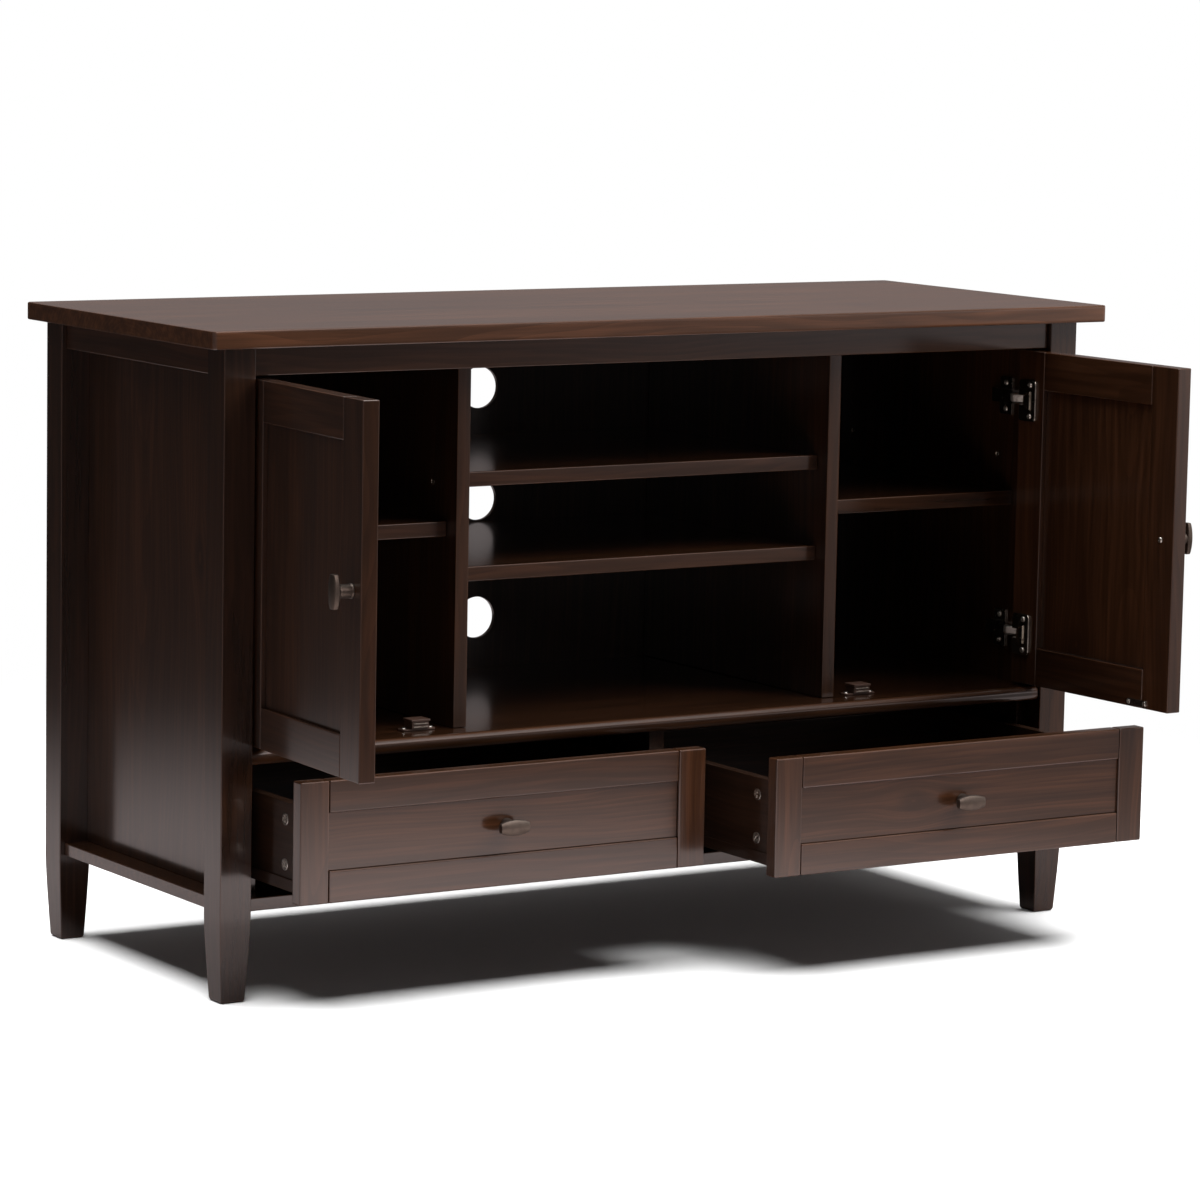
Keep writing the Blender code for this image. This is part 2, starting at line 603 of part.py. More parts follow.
def make_door(side_name, side):
    """A framed door, laid out closed about its hinge pin and swung open by its pivot."""
    prefix = f"door_{side_name}"
    door = make_pivot(f"{prefix}_pivot", (side * PIN_X, PIN_Y, 0.0), DOOR_ANGLES[side_name])

    def across(start, end):
        """A span of x between two distances from the hinge edge."""
        return (side * (PIN_FROM_DOOR_FACES - start), side * (PIN_FROM_DOOR_FACES - end))

    outer = -PIN_FROM_DOOR_FACES
    inner = outer + DOOR_THICKNESS
    depth = (outer, inner)
    levels = (DOOR_BOTTOM, DOOR_TOP)
    far_stile = DOOR_WIDTH - DOOR_FRAME_WIDTH
    hinge_stile = box(f"{prefix}_hinge_stile", across(0.0, DOOR_FRAME_WIDTH), depth, levels, WOOD, door, BOARD_EDGE)
    box(f"{prefix}_lock_stile", across(far_stile, DOOR_WIDTH), depth, levels, WOOD, door, BOARD_EDGE)
    between = across(DOOR_FRAME_WIDTH + FIT, far_stile - FIT)
    top_levels = (DOOR_TOP - DOOR_FRAME_WIDTH, DOOR_TOP)
    bottom_levels = (DOOR_BOTTOM, DOOR_BOTTOM + DOOR_FRAME_WIDTH)
    box(f"{prefix}_top_rail", between, depth, top_levels, WOOD, door, BOARD_EDGE)
    box(f"{prefix}_bottom_rail", between, depth, bottom_levels, WOOD, door, BOARD_EDGE)
    panel_levels = (bottom_levels[1] + FIT, top_levels[0] - FIT)
    panel_depth = (outer + DOOR_PANEL_RECESS, inner - DOOR_PANEL_RECESS)
    box(f"{prefix}_panel", between, panel_depth, panel_levels, WOOD, door)

    knob_x = side * (PIN_FROM_DOOR_FACES - DOOR_WIDTH + DOOR_KNOB_FROM_EDGE)
    make_knob(f"{prefix}_knob", door, (knob_x, outer - FIT, (DOOR_BOTTOM + DOOR_TOP) / 2), True)

    strike_middle = DOOR_HINGE_EDGE - DIVIDER_OUTER - CATCH_FROM_DIVIDER
    strike_bottom = DOOR_BOTTOM + STRIKE_FROM_DOOR_BOTTOM
    box(
        f"{prefix}_strike_plate", across(strike_middle - STRIKE_WIDTH / 2, strike_middle + STRIKE_WIDTH / 2),
        (inner + FIT, inner + FIT + STRIKE_THICKNESS), (strike_bottom, strike_bottom + STRIKE_HEIGHT), NICKEL, door,
    )

    notch_half = ARM_HEIGHT / 2 + EAR_THICKNESS + 2 * FIT
    notch_end = PIN_FROM_DOOR_FACES + KNUCKLE_RADIUS + NOTCH_SPACE
    notch_depth = (-KNUCKLE_RADIUS - NOTCH_SPACE, DOOR_THICKNESS)
    for level_name, level in HINGE_HEIGHTS.items():
        make_hinge_arm(f"hinge_arm_{side_name}_{level_name}", side, level)
        make_hinge_plate(f"{prefix}_hinge_plate_{level_name}", door, across, level)
        notch = box(
            f"cut_{prefix}_notch_{level_name}", across(-notch_end, notch_end), notch_depth,
            (level - notch_half, level + notch_half), parent=door,
        )
        add_boolean(hinge_stile, notch, "DIFFERENCE")


def make_drawer_side(name, drawer, face, inward):
    """A drawer side with a proud rib along its foot. Inward is the direction of x towards the drawer's inside."""
    depth = (DRAWER_FRONT_BACK + FIT, DRAWER_BOX_END)
    levels = (DRAWER_SIDE_BOTTOM, DRAWER_SIDE_TOP)
    board = box(name, (face, face + inward * DRAWER_SIDE_THICKNESS), depth, levels, INNER_WOOD, drawer)
    rib_x = (face - inward * DRAWER_RIB_PROUD, face + inward * DRAWER_SIDE_THICKNESS / 2)
    rib_levels = (DRAWER_SIDE_BOTTOM, DRAWER_SIDE_BOTTOM + DRAWER_RIB_HEIGHT)
    rib = box(f"join_{name}_rib", rib_x, depth, rib_levels, parent=drawer)
    add_boolean(board, rib, "UNION")


def make_drawer(side_name, side):
    """A framed front on a box, laid out closed and drawn forward by its pivot."""
    prefix = f"drawer_{side_name}"
    drawer = make_pivot(f"{prefix}_pivot", (0.0, -DRAWN[side_name], 0.0))
    across = mirrored(side, DRAWER_INNER_END, DRAWER_OUTER_END)
    levels = (DRAWER_FRONT_BOTTOM, DRAWER_FRONT_TOP)
    frame = box(
        f"{prefix}_front_frame", across, (DRAWER_FACE, DRAWER_FRONT_BACK), levels, WOOD, drawer, BOARD_EDGE
    )
    window_x = (DRAWER_INNER_END + DRAWER_FRAME_WIDTH, DRAWER_OUTER_END - DRAWER_FRAME_WIDTH)
    window_z = (DRAWER_FRONT_BOTTOM + DRAWER_FRAME_WIDTH, DRAWER_FRONT_TOP - DRAWER_FRAME_WIDTH)
    through = (DRAWER_FACE - DRAWER_FRONT_THICKNESS, DRAWER_FRONT_BACK + DRAWER_FRONT_THICKNESS)
    window = box(f"cut_{prefix}_window", mirrored(side, *window_x), through, window_z, parent=drawer)
    add_boolean(frame, window, "DIFFERENCE")
    panel_face = DRAWER_FACE + DRAWER_PANEL_RECESS
    box(
        f"{prefix}_front_panel", mirrored(side, window_x[0] + FIT, window_x[1] - FIT),
        (panel_face, panel_face + DRAWER_PANEL_THICKNESS), (window_z[0] + FIT, window_z[1] - FIT), WOOD, drawer,
    )
    knob_spot = (sum(mirrored(side, *window_x)) / 2, panel_face - FIT, sum(window_z) / 2)
    make_knob(f"{prefix}_knob", drawer, knob_spot, False)

    make_drawer_side(f"{prefix}_outer_side", drawer, side * OUTER_SIDE_FACE, -side)
    make_drawer_side(f"{prefix}_inner_side", drawer, side * INNER_SIDE_FACE, side)
    inside = mirrored(
        side, INNER_SIDE_FACE + DRAWER_SIDE_THICKNESS + FIT, OUTER_SIDE_FACE - DRAWER_SIDE_THICKNESS - FIT
    )
    floor_levels = (DRAWER_FLOOR_BOTTOM, DRAWER_FLOOR_TOP)
    box(f"{prefix}_floor", inside, (DRAWER_FRONT_BACK + FIT, DRAWER_BOX_END), floor_levels, INNER_WOOD, drawer)
    back_depth = (DRAWER_BOX_END - DRAWER_BACK_THICKNESS, DRAWER_BOX_END)
    box(f"{prefix}_back", inside, back_depth, (DRAWER_FLOOR_TOP + FIT, DRAWER_SIDE_TOP), INNER_WOOD, drawer)


make_top()
make_posts()
make_sides()
make_front_rail()
make_bottom_board()
make_back_panel()
make_deck()
make_dividers_and_shelves()
make_partition_and_runners()
make_catches()
for side_label, side_sign in SIDES.items():
    make_door(side_label, side_sign)
    make_drawer(side_label, side_sign)
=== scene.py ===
"""Looks of the stained pine tv stand: its boards, fittings, finishes, studio and camera.

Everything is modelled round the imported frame, in metres, +Z up.
Doors are laid out shut and then swung to where they rest.
"""

import itertools
import json
import math

import bmesh
import bpy
import numpy as np
from mathutils import Matrix, Vector


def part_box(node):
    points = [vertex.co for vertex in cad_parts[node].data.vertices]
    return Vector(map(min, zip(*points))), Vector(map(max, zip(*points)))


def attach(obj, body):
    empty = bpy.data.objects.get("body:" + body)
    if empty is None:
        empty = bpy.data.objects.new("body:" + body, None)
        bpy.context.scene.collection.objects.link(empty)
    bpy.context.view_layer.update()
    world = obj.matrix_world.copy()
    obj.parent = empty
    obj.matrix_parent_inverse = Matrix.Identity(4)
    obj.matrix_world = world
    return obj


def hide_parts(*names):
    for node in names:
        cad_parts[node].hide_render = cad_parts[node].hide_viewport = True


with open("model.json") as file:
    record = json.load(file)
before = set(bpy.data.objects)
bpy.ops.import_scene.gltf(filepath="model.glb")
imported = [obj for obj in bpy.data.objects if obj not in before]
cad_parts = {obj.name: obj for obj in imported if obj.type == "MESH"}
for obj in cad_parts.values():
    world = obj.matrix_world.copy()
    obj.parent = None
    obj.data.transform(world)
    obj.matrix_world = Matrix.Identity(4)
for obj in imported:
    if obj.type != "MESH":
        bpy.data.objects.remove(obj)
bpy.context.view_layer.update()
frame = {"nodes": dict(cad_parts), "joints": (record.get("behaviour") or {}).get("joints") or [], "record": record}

MILLIMETRE = 0.001

# Small sizes that the frame doesn't hold
FIT = 0.3 * MILLIMETRE
BOARD_EDGE = 1.1 * MILLIMETRE
PANEL_EDGE = 0.4 * MILLIMETRE
SHELF_EDGE = 1.4 * MILLIMETRE
FRAME_EDGE = 1.7 * MILLIMETRE
HOLE_EDGE = 0.6 * MILLIMETRE
HOLE_SEGMENTS = 72
SLAB_CORNER = 6.0 * MILLIMETRE
SLAB_EDGE = 10.5 * MILLIMETRE
SLAB_PROFILE = 0.85
NOSE_ROUND = 7.0 * MILLIMETRE
JOINT_GAP = 0.8 * MILLIMETRE
PANEL_FORWARD = 2.4 * MILLIMETRE
FOOT_STEPS = 10
FOOT_CURVE = 1.3
FOOT_SLICE = 4.0 * MILLIMETRE
FOOT_ROUND = 3.5 * MILLIMETRE
SHARP_ANGLE = math.radians(50)
SMOOTH_ANGLE = math.radians(40)

NODES = frame["nodes"]
BODIES = frame["record"]["behaviour"]["bodies"]
BODY_OF = {node: body for body, members in BODIES.items() for node in members}
JOINT_OF = {joint["child"]: joint for joint in frame["joints"]}
SIDES = {"left": -1, "right": 1}
ROWS = ("front", "back")
LEVELS = ("upper", "lower")
X, Y, Z = 0, 1, 2
OUT, IN = Vector((0, -1, 0)), Vector((0, 1, 0))
UP = Vector((0, 0, 1))


def linear(colour):
    """An sRGB hex colour as linear red, green, blue and a full alpha."""
    values = [int(colour[start:start + 2], 16) / 255 for start in (1, 3, 5)]
    return tuple(v / 12.92 if v <= 0.04045 else ((v + 0.055) / 1.055) ** 2.4 for v in values) + (1.0,)


def add_node(tree, kind, settings=None, inputs=None):
    """Adds a node, with its settings, and gives each input a value, or the socket or node that feeds it."""
    node = tree.nodes.new(kind)
    for name, value in (settings or {}).items():
        setattr(node, name, value)
    for name, value in (inputs or {}).items():
        if isinstance(value, bpy.types.Node):
            value = value.outputs[0]
        if isinstance(value, bpy.types.NodeSocket):
            tree.links.new(value, node.inputs[name])
        else:
            node.inputs[name].default_value = value
    return node


def new_material(name):
    """An empty material and its shader."""
    material = bpy.data.materials.new(name)
    material.use_nodes = True
    return material, material.node_tree, material.node_tree.nodes["Principled BSDF"]


# Settings that many nodes share
SMOOTH_STEP = {"interpolation_type": "SMOOTHSTEP"}
COLOUR_MIX = {"data_type": "RGBA"}
NUMBER_MIX = {"data_type": "FLOAT"}
MULTIPLY = {"operation": "MULTIPLY"}
MULTIPLY_ADD = {"operation": "MULTIPLY_ADD"}
SUBTRACT = {"operation": "SUBTRACT"}
ADD = {"operation": "ADD"}
MAXIMUM = {"operation": "MAXIMUM"}

# Sizes of the figure in the pine
RING_SPACING = 5.0 * MILLIMETRE
WAVE_TURNS = 20.0
DRIFT_LENGTH = 550 * MILLIMETRE
DRIFT_WIDTH = 140 * MILLIMETRE
DRIFT_REACH = 50 * MILLIMETRE
FIBRE_WIDTH = 1.4 * MILLIMETRE
FIBRE_LENGTH = 70 * MILLIMETRE
STREAK_WIDTH = 8 * MILLIMETRE
STREAK_LENGTH = 210 * MILLIMETRE
BAND_WIDTH = 60 * MILLIMETRE
BAND_LENGTH = 800 * MILLIMETRE
KNOT_LENGTH = 24 * MILLIMETRE
KNOT_WIDTH = 12 * MILLIMETRE
KNOT_COLOUR = "#140a05"
GRAIN_RELIEF = 0.06 * MILLIMETRE
LACQUER_ROUGHNESS = 0.15
LACQUER_IOR = 1.6
TIMBER_SHINE = 0.12


def make_pine(name, dark, light, rubbed_and_glint, coat, roughness):
    """Knotty pine that follows each board's own timber coordinates: along, across and through the board."""
    material, tree, shader = new_material(name)
    timber = add_node(tree, "ShaderNodeAttribute", {"attribute_name": "timber"}).outputs["Vector"]
    knot = add_node(tree, "ShaderNodeAttribute", {"attribute_name": "knot"}).outputs["Vector"]
    # The rounded edges' mask: they are drawn paler, partly as rubbed wear and partly as a painted highlight
    worn = add_node(tree, "ShaderNodeAttribute", {"attribute_name": "worn"}).outputs["Fac"]
    # Each board's tone factor: partly the stain's own unevenness, partly painted light and shade
    stain = add_node(tree, "ShaderNodeAttribute", {"attribute_name": "stain"}).outputs["Fac"]

    # The board's one knot pushes the grain aside
    knot_size = (1 / KNOT_LENGTH, 1 / KNOT_WIDTH, 0.0)
    from_knot = add_node(tree, "ShaderNodeVectorMath", SUBTRACT, {0: timber, 1: knot})
    in_knots = add_node(tree, "ShaderNodeVectorMath", MULTIPLY, {0: from_knot, 1: knot_size})
    distance = add_node(tree, "ShaderNodeVectorMath", {"operation": "LENGTH"}, {0: in_knots})
    knot_radius = distance.outputs["Value"]
    push = add_node(
        tree, "ShaderNodeMapRange", SMOOTH_STEP,
        {"Value": knot_radius, "From Min": 0.4, "From Max": 3.2, "To Min": -0.75, "To Max": 0.0},
    )
    pushed = add_node(tree, "ShaderNodeVectorMath", MULTIPLY, {0: from_knot, 1: push})
    aside = add_node(tree, "ShaderNodeVectorMath", MULTIPLY_ADD, {0: pushed, 1: (0.0, 1.0, 1.0), 2: timber})

    # Growth rings round a pith that lies off the board, wandering a little along its length
    drift_size = (1 / DRIFT_LENGTH, 1 / DRIFT_WIDTH, 1 / DRIFT_WIDTH)
    in_drifts = add_node(tree, "ShaderNodeVectorMath", MULTIPLY, {0: aside, 1: drift_size})
    drift = add_node(tree, "ShaderNodeTexNoise", None, {"Vector": in_drifts, "Scale": 1.0, "Detail": 2.0})
    centred = add_node(
        tree, "ShaderNodeVectorMath", SUBTRACT, {0: drift.outputs["Color"], 1: (0.5, 0.5, 0.5)}
    )
    wandering = add_node(
        tree, "ShaderNodeVectorMath", MULTIPLY_ADD, {0: centred, 1: (0.0, DRIFT_REACH, DRIFT_REACH), 2: aside}
    )
    rings = add_node(
        tree, "ShaderNodeTexWave",
        {"wave_type": "RINGS", "rings_direction": "X", "wave_profile": "SAW"},
        {"Vector": wandering, "Scale": 2 * math.pi / (WAVE_TURNS * RING_SPACING), "Detail": 0.0},
    ).outputs["Fac"]

    # Pale streaks on a darker ground, the fine fibres between them, and broad bands where the stain took more
    figure = {}
    for mark, place, length, width, detail in (
        ("streak", wandering, STREAK_LENGTH, STREAK_WIDTH, 3.0),
        ("fibre", timber, FIBRE_LENGTH, FIBRE_WIDTH, 2.0),
        ("band", wandering, BAND_LENGTH, BAND_WIDTH, 2.0),
    ):
        stretch = (1 / length, 1 / width, 1 / width)
        stretched = add_node(tree, "ShaderNodeVectorMath", MULTIPLY, {0: place, 1: stretch})
        noise = add_node(
            tree, "ShaderNodeTexNoise", None, {"Vector": stretched, "Scale": 1.0, "Detail": detail}
        )
        figure[mark] = noise.outputs["Fac"]
    streak, fibre, band = figure["streak"], figure["fibre"], figure["band"]
    ring_share = add_node(tree, "ShaderNodeMath", MULTIPLY_ADD, {0: rings, 1: 0.16, 2: -0.08})
    streak_share = add_node(tree, "ShaderNodeMath", MULTIPLY_ADD, {0: streak, 1: 0.9, 2: ring_share})
    grain = add_node(tree, "ShaderNodeMath", MULTIPLY_ADD, {0: fibre, 1: 0.18, 2: streak_share})
    pale = add_node(
        tree, "ShaderNodeMapRange", SMOOTH_STEP, {"Value": grain, "From Min": 0.36, "From Max": 0.92}
    )
    stained = add_node(tree, "ShaderNodeMix", COLOUR_MIX, {0: pale, 6: linear(dark), 7: linear(light)})
    uneven = add_node(
        tree, "ShaderNodeMapRange", SMOOTH_STEP,
        {"Value": band, "From Min": 0.3, "From Max": 0.7, "To Min": 0.80, "To Max": 1.20},
    )
    # The bands' unevenness times the board's tone factor, which is partly painted light and shade
    board_tone_and_light = add_node(tree, "ShaderNodeMath", MULTIPLY, {0: uneven, 1: stain})
    patchy = add_node(
        tree, "ShaderNodeMix", {"data_type": "RGBA", "blend_type": "MULTIPLY"},
        {0: 1.0, 6: stained.outputs[2], 7: board_tone_and_light},
    )

    # The knot itself: darker, with a ragged edge and a paler heart
    ragged = add_node(tree, "ShaderNodeMath", ADD, {0: knot_radius, 1: streak})
    dark_share = add_node(
        tree, "ShaderNodeMapRange", SMOOTH_STEP,
        {"Value": ragged, "From Min": 0.9, "From Max": 1.9, "To Min": 0.5, "To Max": 0.0},
    )
    knotty = add_node(
        tree, "ShaderNodeMix", COLOUR_MIX, {0: dark_share, 6: patchy.outputs[2], 7: linear(KNOT_COLOUR)}
    )
    heart_share = add_node(
        tree, "ShaderNodeMapRange", SMOOTH_STEP,
        {"Value": ragged, "From Min": 0.5, "From Max": 0.8, "To Min": 0.5, "To Max": 0.0},
    )
    hearted = add_node(
        tree, "ShaderNodeMix", COLOUR_MIX, {0: heart_share, 6: knotty.outputs[2], 7: linear(light)}
    )
    # Paler colour along the rounded edges, following the streaks: partly rubbed wear, partly a painted highlight
    edge_wear_and_glint = add_node(tree, "ShaderNodeMath", MULTIPLY, {0: worn, 1: streak})
    coloured = add_node(
        tree, "ShaderNodeMix", COLOUR_MIX, {0: edge_wear_and_glint, 6: hearted.outputs[2], 7: linear(rubbed_and_glint)}
    )
    tree.links.new(coloured.outputs[2], shader.inputs["Base Color"])

    # The grain stands a few hundredths of a millimetre proud under the lacquer
    dull = add_node(
        tree, "ShaderNodeMapRange", SMOOTH_STEP,
        {"Value": fibre, "To Min": roughness - 0.06, "To Max": roughness + 0.08},
    )
    tree.links.new(dull.outputs[0], shader.inputs["Roughness"])
    relief = add_node(
        tree, "ShaderNodeBump", None, {"Height": grain, "Strength": 0.25, "Distance": GRAIN_RELIEF}
    )
    tree.links.new(relief.outputs[0], shader.inputs["Normal"])
    coat_relief = add_node(
        tree, "ShaderNodeBump", None, {"Height": streak, "Strength": 0.14, "Distance": GRAIN_RELIEF}
    )
    tree.links.new(coat_relief.outputs[0], shader.inputs["Coat Normal"])
    shader.inputs["Coat Weight"].default_value = coat
    shader.inputs["Coat Roughness"].default_value = LACQUER_ROUGHNESS
    shader.inputs["Coat IOR"].default_value = LACQUER_IOR
    shader.inputs["Specular IOR Level"].default_value = TIMBER_SHINE
    return material


def make_metal(name, colour, tarnish, roughness, grit):
    """A plated metal whose shine is broken by faint tarnish and handling marks."""
    material, tree, shader = new_material(name)
    place = add_node(tree, "ShaderNodeTexCoord").outputs["Object"]
    clouds = add_node(
        tree, "ShaderNodeTexNoise", None, {"Vector": place, "Scale": 1 / grit, "Detail": 4.0}
    ).outputs["Fac"]
    share = add_node(
        tree, "ShaderNodeMapRange", SMOOTH_STEP, {"Value": clouds, "From Min": 0.42, "From Max": 0.68}
    )
    coloured = add_node(tree, "ShaderNodeMix", COLOUR_MIX, {0: share, 6: linear(colour), 7: linear(tarnish)})
    tree.links.new(coloured.outputs[2], shader.inputs["Base Color"])
    dull = add_node(
        tree, "ShaderNodeMapRange", None,
        {"Value": clouds, "To Min": roughness - 0.08, "To Max": roughness + 0.12},
    )
    tree.links.new(dull.outputs[0], shader.inputs["Roughness"])
    fine = add_node(tree, "ShaderNodeTexNoise", None, {"Vector": place, "Scale": 6 / grit, "Detail": 2.0})
    relief = add_node(
        tree, "ShaderNodeBump", None,
        {"Height": fine.outputs["Fac"], "Strength": 0.2, "Distance": 0.02 * MILLIMETRE},
    )
    tree.links.new(relief.outputs[0], shader.inputs["Normal"])
    shader.inputs["Metallic"].default_value = 1.0
    return material


MOULD_GRAIN = 0.8 * MILLIMETRE


def make_moulded_plastic(name, colour, light):
    """Injection-moulded plastic with a fine spark-eroded grain."""
    material, tree, shader = new_material(name)
    place = add_node(tree, "ShaderNodeTexCoord").outputs["Object"]
    grain = add_node(
        tree, "ShaderNodeTexNoise", None, {"Vector": place, "Scale": 1 / MOULD_GRAIN, "Detail": 3.0}
    ).outputs["Fac"]
    coloured = add_node(tree, "ShaderNodeMix", COLOUR_MIX, {0: grain, 6: linear(colour), 7: linear(light)})
    tree.links.new(coloured.outputs[2], shader.inputs["Base Color"])
    relief = add_node(
        tree, "ShaderNodeBump", None, {"Height": grain, "Strength": 0.3, "Distance": 0.03 * MILLIMETRE}
    )
    tree.links.new(relief.outputs[0], shader.inputs["Normal"])
    shader.inputs["Roughness"].default_value = 0.38
    return material


# Pine under dark walnut stain and sprayed lacquer: near black brown and streaky, bright where it mirrors
# something pale
# The last of the three colours goes on the rounded edges: partly rubbed wear, partly a painted highlight
STAINED_PINE = make_pine("stained_pine_lacquer", "#2b180b", "#462a19", "#4c2f1d", coat=1.0, roughness=0.36)
# The same timber where it is not meant to be seen: one coat, a duller face, and darker colours that are partly
# painted shade inside the stand
SHADED_INNER_PINE = make_pine("inner_pine_satin", "#1d110a", "#301e14", "#3a2518", coat=0.8, roughness=0.46)
# Pressed steel with bright nickel plate: mirrors the room, a little clouded
NICKEL = make_metal("nickel_plated_steel", "#cfcac0", "#9d978c", roughness=0.22, grit=7 * MILLIMETRE)
# Die-cast hinge arm under a satin nickel plate: paler and much duller than the pressed steel
SATIN_NICKEL = make_metal(
    "satin_nickel_die_casting", "#e0ddd6", "#bab5ab", roughness=0.38, grit=4 * MILLIMETRE
)
# Cast zinc with an aged pewter wash: grey brown satin, darker in patches
PEWTER = make_metal("aged_pewter", "#5d544d", "#554c46", roughness=0.42, grit=9 * MILLIMETRE)
# Zinc plated screw steel: paler and rougher than the nickel
ZINC = make_metal("zinc_plated_screw", "#cfccc5", "#a39f97", roughness=0.26, grit=3 * MILLIMETRE)
# Brown moulded ABS of the catches: an even satin
CATCH_BROWN = make_moulded_plastic("brown_moulded_plastic", "#3c2a22", "#4c382f")


def opening(body):
    """The turn that swings a shut door to where it rests. Other bodies are not turned."""
    joint = JOINT_OF.get(body)
    if joint is None or joint["type"] != "hinge":
        return Matrix.Identity(4)
    pin = Matrix.Translation(joint["pos_m"])
    turn = Matrix.Rotation(math.radians(-joint["range_deg"][0]), 4, Vector(joint["axis"]))
    return pin @ turn @ pin.inverted()


def corners_of(node):
    """A node's corners where it rests."""
    return [corner.co for corner in NODES[node].data.vertices]


def shut_corners(node):
    """A node's corners with its door shut."""
    shut = opening(BODY_OF[node]).inverted()
    return [shut @ corner for corner in corners_of(node)]


def span(corners):
    """The lowest and highest corner of the box round some points."""
    return Vector(map(min, zip(*corners))), Vector(map(max, zip(*corners)))


def top_of(node):
    """The box round a node's highest corners, which leaves out the ledges and ribs below."""
    corners = corners_of(node)
    height = max(corner.z for corner in corners)
    return span([corner for corner in corners if corner.z > height - FIT])


def activate(piece):
    """Makes a piece the only one that operators act on."""
    bpy.ops.object.select_all(action="DESELECT")
    piece.select_set(True)
    bpy.context.view_layer.objects.active = piece


def claim(name):
    """Names the primitive that was just added, and puts its place and size into its mesh."""
    piece = bpy.context.object
    piece.name = name
    piece.data.name = name
    bpy.ops.object.transform_apply(location=True, rotation=True, scale=True)
    return piece


def add_block(name, low, high):
    """A block that fills the box between two corners."""
    bpy.ops.object.select_all(action="DESELECT")
    bpy.ops.mesh.primitive_cube_add(size=1.0, location=(low + high) / 2, scale=high - low)
    return claim(name)


def pick(piece, kind, test):
    """In edit mode, selects only the faces or edges that pass a test."""
    bpy.ops.mesh.select_mode(type=kind)
    bpy.ops.mesh.select_all(action="DESELECT")
    shape = bmesh.from_edit_mesh(piece.data)
    for part in shape.faces if kind == "FACE" else shape.edges:
        part.select_set(test(part))
    shape.select_flush_mode()
    bmesh.update_edit_mesh(piece.data)


def runs_along(axis, least):
    """A test for the edges that run further than a length along an axis."""
    return lambda edge: abs(edge.verts[0].co[axis] - edge.verts[1].co[axis]) > least


# Off every plane of symmetry, so that no two corners of a piece lie equally far from it
SORT_FROM = (0.0311, 0.0173, 0.0529)


def sort_shape():
    """Leaves edit mode with corners, edges and faces in an order that is the same each run."""
    bpy.ops.mesh.select_all(action="SELECT")
    cursor = bpy.context.scene.cursor
    cursor.location = SORT_FROM
    bpy.ops.mesh.sort_elements(type="CURSOR_DISTANCE", elements={"VERT", "EDGE", "FACE"})
    cursor.location = (0, 0, 0)
    bpy.ops.object.mode_set(mode="OBJECT")


def round_edges(piece, radius, segments=3, test=None, profile=0.5):
    """Rounds the sharp edges of a piece, or only those that pass a test."""
    activate(piece)
    bpy.ops.object.mode_set(mode="EDIT")
    bpy.ops.mesh.select_mode(type="EDGE")
    if test is None:
        bpy.ops.mesh.select_all(action="DESELECT")
        bpy.ops.mesh.edges_select_sharp(sharpness=SHARP_ANGLE)
    else:
        pick(piece, "EDGE", test)
    bpy.ops.mesh.bevel(offset=radius, segments=segments, profile=profile, affect="EDGES", clamp_overlap=True)
    sort_shape()


def combine(piece, other, operation):
    """Joins another piece to a piece, or cuts it away. The other piece is then thrown away."""
    boolean = piece.modifiers.new("boolean", "BOOLEAN")
    boolean.operation = operation
    boolean.solver = "EXACT"
    boolean.object = other
    activate(piece)
    bpy.ops.object.modifier_apply(modifier=boolean.name)
    bpy.data.objects.remove(other, do_unlink=True)


def cut(piece, cutter):
    """Cuts the shape of a cutter out of a piece."""
    combine(piece, cutter, "DIFFERENCE")


def smooth(piece):
    """Smooth shading that keeps broad faces flat, so that only the rounded edges turn."""
    activate(piece)
    bpy.ops.object.shade_smooth_by_angle(angle=SMOOTH_ANGLE)
    flat = piece.modifiers.new("flat_faces", "WEIGHTED_NORMAL")
    flat.keep_sharp = True
    bpy.ops.object.modifier_apply(modifier=flat.name)


# How light each kind of board is drawn against the rest: partly the stain's own unevenness, partly painted light
# and shade, lighter on the top and darker on the posts, shelves and deck
TONE_AND_PAINTED_LIGHT = {
    "top_panel": 1.8,
    "side_panel": 0.85,
    "post": 0.62,
    "front_rail": 0.85,
    "divider": 0.70,
    "centre_shelf": 0.75,
    "side_shelf": 0.55,
    "deck_board": 0.60,
    "drawer_left_front": 1.1,
    "drawer_right_front": 1.15,
    "door_left": 0.75,
    "door_right": 0.80,
}

# Where a board's knot lies, in millimetres along and across from its middle
KNOTS = {
    "drawer_right_front_panel": (-68, 5),
    "side_panel_left": (60, -95),
    "door_right_panel": (-140, 30),
    "top_panel": (310, -120),
}
NO_KNOT = (1e4, 1e4)

# Each board comes from its own length of log, at its own place beside the pith
board_numbers = itertools.count(1)
LOG_STEP = 1.37
PITH_SWING = 0.11
PITH_DEPTH = 0.045
GOLDEN = 0.618034
WEAR_AND_GLINT_TURN = 0.13


